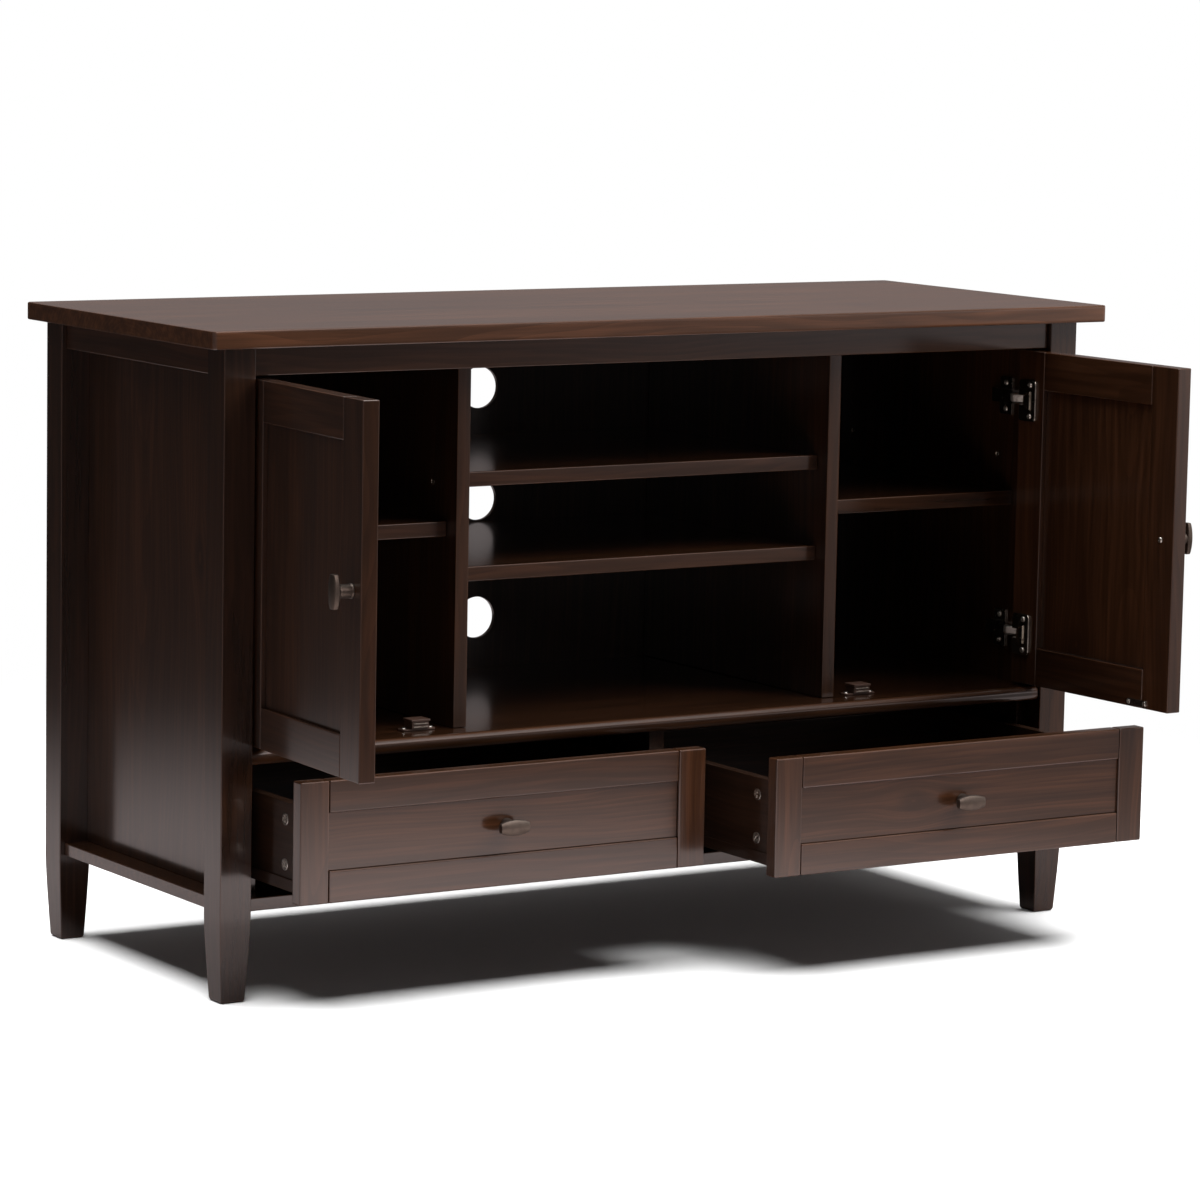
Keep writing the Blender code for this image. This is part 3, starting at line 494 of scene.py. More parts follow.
def lay_grain(piece, along):
    """Gives a board its timber coordinates and marks its rounded edges, which the pine draws paler: partly wear,
    partly a painted highlight along the arris.
    """
    number = next(board_numbers)
    mesh = piece.data
    places = np.empty(len(mesh.vertices) * 3, np.float32)
    mesh.vertices.foreach_get("co", places)
    places = places.reshape(-1, 3)
    low, high = places.min(0), places.max(0)
    across = sorted((axis for axis in range(3) if axis != along), key=lambda axis: low[axis] - high[axis])
    order = [along, *across]
    swing = (number * GOLDEN) % 1.0
    depth = (number * GOLDEN * GOLDEN) % 1.0
    offset = np.array([number * LOG_STEP, PITH_SWING * (2 * swing - 1), PITH_DEPTH * (1 + depth)])
    timber = places[:, order] - ((low + high) / 2)[order] + offset
    knot_along, knot_across = KNOTS.get(piece.name.removesuffix("_timber"), NO_KNOT)
    knot = offset + np.array([knot_along, knot_across, 0.0]) * MILLIMETRE
    # Rounded edges are marked by how far their normals turn, for the paler edge colour that is partly wear and
    # partly a painted highlight
    turned = 1.0 - np.abs([corner.normal for corner in mesh.vertices]).max(1)
    worn = np.clip(turned / WEAR_AND_GLINT_TURN, 0.0, 1.0)
    # The tone factor for the board's kind: partly real unevenness of the stain, partly painted light and shade
    stain = next((value for start, value in TONE_AND_PAINTED_LIGHT.items() if piece.name.startswith(start)), 1.0)
    for name, kind, key, values in (
        ("knot", "FLOAT_VECTOR", "vector", np.tile(knot, len(places))),
        ("timber", "FLOAT_VECTOR", "vector", timber.ravel()),
        ("worn", "FLOAT", "value", worn),
        ("stain", "FLOAT", "value", np.full(len(places), stain)),
    ):
        mesh.attributes.new(name, kind, "POINT").data.foreach_set(key, values.astype(np.float32))


def fix(piece, body, finish, replaced=()):
    """Gives a piece its finish and fixes it to its body."""
    piece.data.materials.clear()
    piece.data.materials.append(finish)
    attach(piece, body)
    if replaced:
        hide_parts(*replaced)


def settle(piece, body, finish, replaced=()):
    """Swings a piece that was laid out shut to where it rests, and fixes it there."""
    activate(piece)
    piece.matrix_world = opening(body)
    bpy.ops.object.transform_apply(location=True, rotation=True, scale=True)
    fix(piece, body, finish, replaced)


def finish_board(piece, body, along, finish, replaced=()):
    """Lays the grain along a shaped board, smooths it and fixes it."""
    lay_grain(piece, along)
    smooth(piece)
    settle(piece, body, finish, replaced)


def make_plain_board(node, along, finish, edge=BOARD_EDGE):
    """A board with rounded edges that fills its node's box."""
    board = add_block(f"{node}_timber", *span(shut_corners(node)))
    round_edges(board, edge)
    finish_board(board, BODY_OF[node], along, finish, [node])


def make_top():
    """A slab with small round corners and a broad soft edge all round."""
    slab = add_block("top_panel_timber", *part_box("top_panel"))
    round_edges(slab, SLAB_CORNER, 6, runs_along(Z, SLAB_CORNER))
    round_edges(slab, SLAB_EDGE, 10, profile=SLAB_PROFILE)
    finish_board(slab, "cabinet", X, STAINED_PINE, ["top_panel"])


def make_post(node):
    """A post drawn up from its foot: a short curved taper, then square to the top."""
    low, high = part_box(node)
    corners = corners_of(node)
    foot_low, foot_high = span([corner for corner in corners if corner.z < FOOT_SLICE])
    taper_top = max(corner.z for corner in corners if corner.z < high.z / 2)
    middle = (low + high) / 2
    width = high.x - low.x
    foot = foot_high.x - foot_low.x
    bpy.ops.object.select_all(action="DESELECT")
    bpy.ops.mesh.primitive_plane_add(size=foot, location=(middle.x, middle.y, low.z))
    post = claim(f"{node}_timber")
    bpy.ops.object.mode_set(mode="EDIT")
    bpy.ops.mesh.select_all(action="SELECT")
    last = foot
    for step in range(1, FOOT_STEPS + 1):
        here = width - (width - foot) * (1 - step / FOOT_STEPS) ** FOOT_CURVE
        bpy.ops.mesh.extrude_region_move(TRANSFORM_OT_translate={"value": (0, 0, taper_top / FOOT_STEPS)})
        bpy.ops.transform.resize(value=(here / last, here / last, 1), center_override=(middle.x, middle.y, 0))
        last = here
    bpy.ops.mesh.extrude_region_move(TRANSFORM_OT_translate={"value": (0, 0, high.z - taper_top)})
    close_shape()
    round_edges(post, FOOT_ROUND, 4, lambda edge: max(corner.co.z for corner in edge.verts) < low.z + FIT)
    round_edges(post, BOARD_EDGE)
    finish_board(post, "cabinet", Z, STAINED_PINE, [node])


def make_bottom_board():
    """The board under the drawers, notched round the four posts."""
    board = add_block("bottom_board_timber", *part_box("bottom_board"))
    margin = Vector((FIT, FIT, 0))
    for row, side in itertools.product(ROWS, SIDES):
        low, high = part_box(f"post_{row}_{side}")
        cut(board, add_block("notch", low - margin, high + margin))
    round_edges(board, BOARD_EDGE)
    finish_board(board, "cabinet", X, STAINED_PINE, ["bottom_board"])


CABLE_HOLES = ("cable_hole_lower", "cable_hole_middle", "cable_hole_upper")


def make_back_panel():
    """A thin panel with three round cable holes, each at its opening's middle."""
    low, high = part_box("back_panel")
    panel = add_block("back_panel_timber", low, high)
    openings = {item["name"]: item["box_m"] for item in frame["record"]["physics"]["openings"]}
    for hole in CABLE_HOLES:
        start, end = (Vector(corner) for corner in openings[hole])
        middle = (start + end) / 2
        reach = end.z - start.z
        rim = [corner for corner in corners_of("back_panel") if (corner - middle).length < reach]
        rim_low, rim_high = span(rim)
        bpy.ops.object.select_all(action="DESELECT")
        bpy.ops.mesh.primitive_cylinder_add(
            vertices=HOLE_SEGMENTS, radius=(rim_high.z - rim_low.z) / 2, depth=4 * (high.y - low.y),
            location=(middle.x, (low.y + high.y) / 2, (rim_low.z + rim_high.z) / 2),
            rotation=(math.pi / 2, 0, 0),
        )
        cut(panel, claim("hole"))
    round_edges(panel, HOLE_EDGE, 2)
    finish_board(panel, "cabinet", Z, SHADED_INNER_PINE, ["back_panel"])


def make_deck():
    """The board under the doors: a rounded nose between the posts, notched for the side panels."""
    low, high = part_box("deck_board")
    deck = add_block("deck_board_timber", low, high)
    is_long = runs_along(X, NOSE_ROUND)

    def is_nose(edge):
        return is_long(edge) and max(corner.co.y for corner in edge.verts) < low.y + FIT

    round_edges(deck, NOSE_ROUND, 6, is_nose)
    for side in SIDES:
        panel_low, panel_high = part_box(f"side_panel_{side}")
        post_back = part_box(f"post_front_{side}")[1].y
        start = Vector((panel_low.x - FIT, post_back, low.z - FIT))
        end = Vector((panel_high.x + FIT, high.y + FIT, high.z + FIT))
        if side == "left":
            start.x = low.x - FIT
        else:
            end.x = high.x + FIT
        cut(deck, add_block("notch", start, end))
    round_edges(deck, PANEL_EDGE, 2)
    finish_board(deck, "cabinet", X, STAINED_PINE, ["deck_board"])


def make_partition():
    """The wall between the drawers, with the runner that it carries on each side."""
    node = "drawer_partition"
    low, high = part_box(node)
    top_low, top_high = top_of(node)
    ledge = [corner for corner in corners_of(node) if abs(corner.x) > top_high.x + FIT]
    ledge_low, ledge_high = span(ledge)
    wall = add_block(
        "drawer_partition_timber",
        Vector((top_low.x, low.y, low.z)), Vector((top_high.x, high.y, high.z)),
    )
    round_edges(wall, BOARD_EDGE)
    finish_board(wall, "cabinet", Y, SHADED_INNER_PINE, [node])
    for side, sign in SIDES.items():
        edges = sorted((sign * (top_high.x + FIT), sign * ledge_high.x))
        runner = add_block(
            f"inner_runner_{side}_timber",
            Vector((edges[0], ledge_low.y, ledge_low.z)), Vector((edges[1], ledge_high.y, ledge_high.z)),
        )
        round_edges(runner, BOARD_EDGE)
        finish_board(runner, "cabinet", Y, SHADED_INNER_PINE)


def make_drawer_front(side):
    """Two stiles the full height of the front, two rails between them, and a panel set into all four."""
    node = f"drawer_{side}_front_frame"
    panel_node = f"drawer_{side}_front_panel"
    body = BODY_OF[node]
    low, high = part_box(node)
    panel_low, panel_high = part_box(panel_node)
    window_low = panel_low - Vector((FIT, 0, FIT))
    window_high = panel_high + Vector((FIT, 0, FIT))
    sticks = {
        "stile_left": (Z, (low.x, low.z), (window_low.x, high.z)),
        "stile_right": (Z, (window_high.x, low.z), (high.x, high.z)),
        "rail_top": (X, (window_low.x + JOINT_GAP, window_high.z), (window_high.x - JOINT_GAP, high.z)),
        "rail_bottom": (X, (window_low.x + JOINT_GAP, low.z), (window_high.x - JOINT_GAP, window_low.z)),
    }
    for stick, (along, start, end) in sticks.items():
        board = add_block(
            f"drawer_{side}_front_{stick}_timber",
            Vector((start[0], low.y, start[1])), Vector((end[0], high.y, end[1])),
        )
        round_edges(board, FRAME_EDGE)
        finish_board(board, body, along, STAINED_PINE, [node] if stick == "stile_left" else [])
    panel = add_block(f"{panel_node}_timber", panel_low - Vector((0, PANEL_FORWARD, 0)), panel_high)
    round_edges(panel, PANEL_EDGE)
    finish_board(panel, body, X, STAINED_PINE, [panel_node])


def outer_face(node):
    """Where a drawer side's outer face lies above its rib, and which way along X it looks."""
    low = span(corners_of(node))[0]
    top_low, top_high = top_of(node)
    if top_low.x - low.x > FIT:
        return top_low.x, -1
    return top_high.x, 1


def make_drawer_side(node):
    """A drawer side, and the rib along its foot that keeps it straight between the walls."""
    corners = corners_of(node)
    low, high = span(corners)
    top_low, top_high = top_of(node)
    board = add_block(
        f"{node}_timber", Vector((top_low.x, low.y, low.z)), Vector((top_high.x, high.y, high.z))
    )
    round_edges(board, BOARD_EDGE)
    finish_board(board, BODY_OF[node], Y, SHADED_INNER_PINE, [node])
    face, way = outer_face(node)
    proud = low.x if way < 0 else high.x
    rib_top = max(corner.z for corner in corners if abs(corner.x - proud) < FIT)
    edges = sorted((proud, face))
    rib = add_block(
        f"{node}_rib_timber", Vector((edges[0], low.y, low.z)), Vector((edges[1], high.y, rib_top))
    )
    round_edges(rib, PANEL_EDGE, 2)
    finish_board(rib, BODY_OF[node], Y, SHADED_INNER_PINE)


def make_hinge_stile(side):
    """A door's hinge stile, with a notch at each hinge for its ears and arm."""
    node = f"door_{side}_hinge_stile"
    corners = shut_corners(node)
    low, high = span(corners)
    board = add_block(f"{node}_timber", low, high)
    round_edges(board, BOARD_EDGE)
    inside = [corner for corner in corners if min(corner.x - low.x, high.x - corner.x) > 3 * BOARD_EDGE]
    middle = (low.z + high.z) / 2
    for way in (-1, 1):
        start, end = span([corner for corner in inside if way * (corner.z - middle) > 0])
        if side == "left":
            start.x = low.x - FIT
        else:
            end.x = high.x + FIT
        end.y = high.y + FIT
        cut(board, add_block("notch", start, end))
    finish_board(board, BODY_OF[node], Z, STAINED_PINE, [node])


def make_boards():
    """Every board of the stand. Their order gives each its number, and so its own grain."""
    make_top()
    for row, side in itertools.product(ROWS, SIDES):
        make_post(f"post_{row}_{side}")
    make_plain_board("front_rail", X, STAINED_PINE)
    make_bottom_board()
    make_back_panel()
    make_deck()
    make_partition()
    for level in reversed(LEVELS):
        make_plain_board(f"centre_shelf_{level}", X, STAINED_PINE, SHELF_EDGE)
    for side in SIDES:
        make_plain_board(f"side_panel_{side}", Z, STAINED_PINE, PANEL_EDGE)
        make_plain_board(f"side_rail_{side}", Y, STAINED_PINE)
        make_plain_board(f"divider_{side}", Z, STAINED_PINE)
        make_plain_board(f"side_shelf_{side}", X, STAINED_PINE, SHELF_EDGE)
        make_plain_board(f"drawer_runner_{side}", Y, SHADED_INNER_PINE)
        make_hinge_stile(side)
        for stick, along in (("lock_stile", Z), ("top_rail", X), ("bottom_rail", X)):
            make_plain_board(f"door_{side}_{stick}", along, STAINED_PINE)
        make_plain_board(f"door_{side}_panel", Z, STAINED_PINE, PANEL_EDGE)
        make_drawer_front(side)
        for part in ("outer_side", "inner_side"):
            make_drawer_side(f"drawer_{side}_{part}")
        make_plain_board(f"drawer_{side}_back", X, SHADED_INNER_PINE)
        make_plain_board(f"drawer_{side}_floor", X, SHADED_INNER_PINE, PANEL_EDGE)


def add_disc(name, radius, segments):
    """A filled circle at the origin, in edit mode and all selected."""
    bpy.ops.object.select_all(action="DESELECT")
    bpy.ops.mesh.primitive_circle_add(vertices=segments, radius=radius, fill_type="NGON")
    piece = claim(name)
    bpy.ops.object.mode_set(mode="EDIT")
    bpy.ops.mesh.select_all(action="SELECT")
    return piece


def raise_rings(rings, start):
    """Draws the selected disc up through rings of (height, half size along X, half size along Y)."""
    height, wide, deep = start
    for next_height, next_wide, next_deep in rings:
        bpy.ops.mesh.extrude_region_move(TRANSFORM_OT_translate={"value": (0, 0, next_height - height)})
        bpy.ops.transform.resize(
            value=(next_wide / wide, next_deep / deep, 1), center_override=(0, 0, next_height)
        )
        height, wide, deep = next_height, next_wide, next_deep


def close_shape():
    """Leaves edit mode with every face pointing out."""
    bpy.ops.mesh.select_all(action="SELECT")
    bpy.ops.mesh.normals_make_consistent(inside=False)
    sort_shape()


def model_round(name, radius, segments, rings):
    """A round piece drawn up through rings of (height in millimetres, share of its radius)."""
    piece = add_disc(name, radius, segments)
    sizes = [(height * MILLIMETRE, radius * share, radius * share) for height, share in rings]
    raise_rings(sizes, (0.0, radius, radius))
    close_shape()
    return piece


CROSS_TOP = 3.0 * MILLIMETRE


def cut_cross(head, arm, wing, depth):
    """Cuts a cross recess into a round head, down to a height above its back."""
    for long, short in ((arm, wing), (wing, arm)):
        slot = Vector((long, short, 0))
        cut(head, add_block("recess", Vector((0, 0, depth)) - slot, Vector((0, 0, CROSS_TOP)) + slot))


def put_copy(model, name, place, facing, roll, body, finish, replaced=()):
    """A copy of a model whose Z points out of the face that it is fixed to, with its own mesh."""
    copy = model.copy()
    copy.data = model.data.copy()
    copy.name = name
    copy.data.name = name
    bpy.context.scene.collection.objects.link(copy)
    turn = facing.to_track_quat("Z", "Y").to_matrix().to_4x4()
    copy.matrix_world = Matrix.Translation(place) @ turn @ Matrix.Rotation(roll, 4, "Z")
    activate(copy)
    bpy.ops.object.transform_apply(location=True, rotation=True, scale=True)
    settle(copy, body, finish, replaced)


# Knobs
KNOB_SEGMENTS = 48
STEM_FOOT = 8.0 * MILLIMETRE
STEM_NECK = 7.4 * MILLIMETRE
STEM_INTO_HEAD = 2.0 * MILLIMETRE
HEAD_HEIGHT = 9.0 * MILLIMETRE
HEAD_STRETCH = 1.22
END_ROUND = 0.9 * MILLIMETRE
# The head from its back to its face, as height in millimetres and shares of its half length and half width
HEAD_RINGS = (
    (0.7, 0.70, 0.93),
    (1.4, 0.93, 0.975),
    (2.0, 0.99, 0.995),
    (2.6, 1.00, 1.00),
    (6.0, 1.00, 1.00),
    (6.5, 0.985, 0.97),
    (6.9, 0.955, 0.92),
    (7.5, 0.87, 0.81),
    (8.1, 0.72, 0.65),
    (8.6, 0.50, 0.44),
    (8.9, 0.25, 0.21),
    (9.0, 0.03, 0.03),
)
# The stem from its foot up to the neck
STEM_RINGS = ((1.0, 1.0), (1.5, 0.9625), (2.2, STEM_NECK / STEM_FOOT))


def model_knob(length, width, reach):
    """A stout turned stem under an oval head with blunt ends, a straight rim and a softly domed face."""
    back = reach - HEAD_HEIGHT
    head = add_disc("knob_model", STEM_NECK, KNOB_SEGMENTS)
    oval = HEAD_STRETCH * length
    rings = [(up * MILLIMETRE, share * oval / 2, other * width / 2) for up, share, other in HEAD_RINGS]
    raise_rings(rings, (0.0, STEM_NECK, STEM_NECK))
    for way in (-1, 1):
        bpy.ops.mesh.select_all(action="SELECT")
        end = (way * length / 2, 0, 0)
        bpy.ops.mesh.bisect(plane_co=end, plane_no=(way, 0, 0), use_fill=True, clear_outer=True)
    close_shape()
    blunt = length / 2 - FIT
    round_edges(head, END_ROUND, 3, lambda edge: min(abs(corner.co.x) for corner in edge.verts) > blunt)
    head.location.z = back
    bpy.ops.object.transform_apply(location=True, rotation=True, scale=True)
    stem_top = ((back + STEM_INTO_HEAD) / MILLIMETRE, STEM_NECK / STEM_FOOT)
    stem = model_round("knob_stem", STEM_FOOT, KNOB_SEGMENTS, [*STEM_RINGS, stem_top])
    combine(head, stem, "UNION")
    smooth(head)
    return head


def put_knobs():
    """Each knob stands where its node does: upright on the doors, lying on the drawers."""
    for thing, roll, sunk in (("door", math.pi / 2, 0.0), ("drawer", 0.0, PANEL_FORWARD)):
        low, high = span(shut_corners(f"{thing}_left_knob"))
        width, length = sorted((high.x - low.x, high.z - low.z))
        knob = model_knob(length, width, high.y - low.y - sunk)
        for side in SIDES:
            node = f"{thing}_{side}_knob"
            low, high = span(shut_corners(node))
            place = Vector(((low.x + high.x) / 2, high.y - sunk, (low.z + high.z) / 2))
            put_copy(knob, f"{node}_metal", place, OUT, roll, BODY_OF[node], PEWTER, [node])
        bpy.data.objects.remove(knob, do_unlink=True)


def plate_box(side, level):
    """The box round a shut hinge plate, without its ears and pin."""
    corners = shut_corners(f"door_{side}_hinge_plate_{level}")
    face = max(corner.y for corner in corners)
    return span([corner for corner in corners if corner.y > face - 2 * MILLIMETRE])


# Hinge caps, each with a slot that the arm lies in when the door is shut
CAP_THICKNESS = 1.2 * MILLIMETRE
CAP_CORNER = 4.6 * MILLIMETRE
CAP_BEVEL = 1.0 * MILLIMETRE
ARM_SLOT_REACH = 5.4 * MILLIMETRE
ARM_SLOT_HEIGHT = 11.0 * MILLIMETRE

# Screws
SCREW_HEAD = 3.3 * MILLIMETRE
SCREW_SEGMENTS = 28
SCREW_RINGS = ((0.5, 1.0), (1.0, 0.92), (1.4, 0.74), (1.6, 0.45))
SCREW_TURN = 0.7
PLATE_SCREW_INSET = 10.0 * MILLIMETRE
PLATE_SCREW_RISE = 18.5 * MILLIMETRE
WING_SCREW_RISE = 15.5 * MILLIMETRE
STRIKE_SCREW_INSET = 4.5 * MILLIMETRE
# The strike plates' screws lie almost flush, clear of the catch when the door is shut
STRIKE_SINK = 1.35 * MILLIMETRE


def model_screw():
    """A pan head with a cross recess."""
    head = model_round("screw_model", SCREW_HEAD, SCREW_SEGMENTS, SCREW_RINGS)
    cut_cross(head, arm=1.9 * MILLIMETRE, wing=0.45 * MILLIMETRE, depth=0.7 * MILLIMETRE)
    smooth(head)
    return head


def put_screws(screw):
    """Screws of the hinges, strike plates and knobs."""
    numbers = itertools.count(1)

    def put(place, facing, body):
        number = next(numbers)
        put_copy(screw, f"screw_{number:02d}", place, facing, number * SCREW_TURN, body, ZINC)

    for side, sign in SIDES.items():
        body = f"door_{side}"
        for level in LEVELS:
            low, high = plate_box(side, level)
            middle = (low + high) / 2
            far = low.x if sign > 0 else high.x
            column = far + sign * PLATE_SCREW_INSET
            for way in (-1, 1):
                place = Vector((column, high.y + CAP_THICKNESS, middle.z + way * PLATE_SCREW_RISE))
                put(place, IN, body)
            arm = f"hinge_arm_{side}_{level}"
            arm_low, arm_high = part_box(arm)
            wing_low, wing_high = top_of(arm)
            face = wing_low.x if sign > 0 else wing_high.x
            for way in (-1, 1):
                height = (arm_low.z + arm_high.z) / 2 + way * WING_SCREW_RISE
                place = Vector((face, (wing_low.y + wing_high.y) / 2, height))
                put(place, Vector((-sign, 0, 0)), "cabinet")
        low, high = span(shut_corners(f"door_{side}_strike_plate"))
        for end in (low.x + STRIKE_SCREW_INSET, high.x - STRIKE_SCREW_INSET):
            put(Vector((end, high.y - STRIKE_SINK, (low.z + high.z) / 2)), IN, body)
        for thing, board in (("door", "lock_stile"), ("drawer", "front_panel")):
            knob_low, knob_high = span(shut_corners(f"{thing}_{side}_knob"))
            back = span(shut_corners(f"{thing}_{side}_{board}"))[1].y
            place = Vector(((knob_low.x + knob_high.x) / 2, back, (knob_low.z + knob_high.z) / 2))
            put(place, IN, f"{thing}_{side}")


ARM_EDGE = 0.5 * MILLIMETRE
PLATE_EDGE = 0.3 * MILLIMETRE
MERGE_DISTANCE = 0.01 * MILLIMETRE
FLAT_ANGLE = math.radians(1)


def copy_node(node, edge):
    """A copy of a node with its triangles joined into whole faces and its sharp edges rounded."""
    piece = bpy.data.objects.new(f"{node}_metal", NODES[node].data.copy())
    bpy.context.scene.collection.objects.link(piece)
    activate(piece)
    bpy.ops.mesh.customdata_custom_splitnormals_clear()
    bpy.ops.object.mode_set(mode="EDIT")
    bpy.ops.mesh.select_all(action="SELECT")
    bpy.ops.mesh.remove_doubles(threshold=MERGE_DISTANCE)
    bpy.ops.mesh.dissolve_limited(angle_limit=FLAT_ANGLE)
    bpy.ops.object.mode_set(mode="OBJECT")
    round_edges(piece, edge, 2)
    smooth(piece)
    return piece


def make_hinge_cap(side, level):
    """The bevelled cap of a hinge plate, with round corners and its slot."""
    low, high = plate_box(side, level)
    cap = add_block(
        f"hinge_cap_{side}_{level}",
        Vector((low.x, high.y, low.z)), Vector((high.x, high.y + CAP_THICKNESS, high.z)),
    )
    round_edges(cap, CAP_CORNER, 5, runs_along(Y, CAP_THICKNESS / 2))
    pin = Vector(JOINT_OF[f"door_{side}"]["pos_m"])
    middle = (low.z + high.z) / 2
    slot = add_block(
        "slot",
        Vector((pin.x - ARM_SLOT_REACH, low.y, middle - ARM_SLOT_HEIGHT / 2)),
        Vector((pin.x + ARM_SLOT_REACH, high.y + 2 * CAP_THICKNESS, middle + ARM_SLOT_HEIGHT / 2)),
    )
    cut(cap, slot)
    round_edges(cap, CAP_BEVEL, 2, lambda edge: min(corner.co.y for corner in edge.verts) > high.y + FIT)
    smooth(cap)
    settle(cap, f"door_{side}", NICKEL)


# Hinge yokes, measured from the plate's edge that lies further from the pin
YOKE_START = 9.0 * MILLIMETRE
YOKE_END = 20.5 * MILLIMETRE
YOKE_HEIGHT = 10.0 * MILLIMETRE
YOKE_THICKNESS = 1.6 * MILLIMETRE
YOKE_SPREAD = 2.2
YOKE_RIM = 1.2 * MILLIMETRE
YOKE_DISH = 0.9 * MILLIMETRE
YOKE_EDGE = 0.4 * MILLIMETRE


def dish(piece, rim, depth):
    """Sinks the face of a piece that looks into the cabinet, inside a rim."""
    activate(piece)
    bpy.ops.object.mode_set(mode="EDIT")
    pick(piece, "FACE", lambda face: face.normal.y > 0.9)
    bpy.ops.mesh.inset(thickness=rim)
    bpy.ops.transform.translate(value=(0, -depth, 0))
    bpy.ops.object.mode_set(mode="OBJECT")


def make_yoke(side, level):
    """The pressed collar that spreads from a hinge's arm over its plate, with a dished face."""
    sign = SIDES[side]
    low, high = plate_box(side, level)
    far = low.x if sign > 0 else high.x
    broad, narrow = far + sign * YOKE_START, far + sign * YOKE_END
    middle = (low.z + high.z) / 2
    cap_face = high.y + CAP_THICKNESS
    yoke = add_block(
        f"hinge_yoke_{side}_{level}",
        Vector((min(narrow, broad), cap_face - FIT, middle - YOKE_HEIGHT / 2)),
        Vector((max(narrow, broad), cap_face + YOKE_THICKNESS, middle + YOKE_HEIGHT / 2)),
    )
    bpy.ops.object.mode_set(mode="EDIT")
    pick(yoke, "FACE", lambda face: abs(face.calc_center_median().x - broad) < FIT)
    bpy.ops.transform.resize(value=(1, 1, YOKE_SPREAD), center_override=(broad, high.y, middle))
    bpy.ops.object.mode_set(mode="OBJECT")
    dish(yoke, YOKE_RIM, YOKE_DISH)
    round_edges(yoke, YOKE_EDGE, 2)
    smooth(yoke)
    settle(yoke, f"door_{side}", NICKEL)


# Plan of the cranked cover over a hinge's arm, in millimetres from the pin: into the cabinet, and back
COVER_PLAN = ((0.5, 11.0), (8.2, 22.5), (9.0, 26.5), (3.6, 35.0))
COVER_HEIGHT = 9.5 * MILLIMETRE
COVER_EDGE = 1.3 * MILLIMETRE


def make_arm_cover(side, level):
    """The cranked cover of a hinge's arm: a block cut to a plan that slopes up from the door to the mount."""
    pin = Vector(JOINT_OF[f"door_{side}"]["pos_m"])
    low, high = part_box(f"hinge_arm_{side}_{level}")
    pin.z = (low.z + high.z) / 2
    plan = [pin + Vector((-SIDES[side] * inward, back, 0)) * MILLIMETRE for inward, back in COVER_PLAN]
    start, end = span(plan)
    half = Vector((0, 0, COVER_HEIGHT / 2))
    cover = add_block(f"hinge_cover_{side}_{level}", start - half, end + half)
    bpy.ops.object.mode_set(mode="EDIT")
    for here, there in zip(plan, plan[1:]):
        away = (there - here).cross(UP).normalized()
        if away.dot((start + end) / 2 - here) > 0:
            away.negate()
        bpy.ops.mesh.select_all(action="SELECT")
        bpy.ops.mesh.bisect(plane_co=here, plane_no=away, use_fill=True, clear_outer=True)
    close_shape()
    round_edges(cover, COVER_EDGE)
    smooth(cover)
    fix(cover, "cabinet", SATIN_NICKEL)


def make_hinges():
    """Four hinges: the frame's arms and plates with their edges rounded, and the pressings over them."""
    for side, level in itertools.product(SIDES, LEVELS):
        arm = f"hinge_arm_{side}_{level}"
        fix(copy_node(arm, ARM_EDGE), "cabinet", NICKEL, [arm])
        plate = f"door_{side}_hinge_plate_{level}"
        fix(copy_node(plate, PLATE_EDGE), f"door_{side}", NICKEL, [plate])
        make_hinge_cap(side, level)
        make_yoke(side, level)
        make_arm_cover(side, level)


STRIKE_END_ROUND = 0.46
STRIKE_RIM = 1.1 * MILLIMETRE
STRIKE_DISH = 0.3 * MILLIMETRE
STRIKE_EDGE = 0.2 * MILLIMETRE


def make_strike(side):
    """A steel strip with round ends and a shallow pressed middle; its two screws are put with the other screws."""
    node = f"door_{side}_strike_plate"
    low, high = span(shut_corners(node))
    strip = add_block(f"{node}_metal", low, high)
    round_edges(strip, STRIKE_END_ROUND * (high.z - low.z), 6, runs_along(Y, (high.y - low.y) / 2))
    dish(strip, STRIKE_RIM, STRIKE_DISH)
    round_edges(strip, STRIKE_EDGE, 2)
    smooth(strip)
    settle(strip, BODY_OF[node], NICKEL, [node])


# Catches
CATCH_EAR_ROUND = 5.5 * MILLIMETRE
CATCH_BASE_EDGE = 0.4 * MILLIMETRE
CATCH_LID_LAP = 1.1 * MILLIMETRE
CATCH_LID_HEIGHT = 2.4 * MILLIMETRE
CATCH_SHELL_EDGE = 0.45 * MILLIMETRE
CATCH_SCREW_INSET = 5.0 * MILLIMETRE
CATCH_SCREW_TURN = 0.6
POLE_LEVELS = (3.4 * MILLIMETRE, 7.0 * MILLIMETRE)
POLE_THICKNESS = 1.3 * MILLIMETRE
POLE_DEPTH = 4.0 * MILLIMETRE
POLE_INSET = 3.0 * MILLIMETRE
POLE_SINK = 0.1 * MILLIMETRE
POLE_EDGE = 0.25 * MILLIMETRE


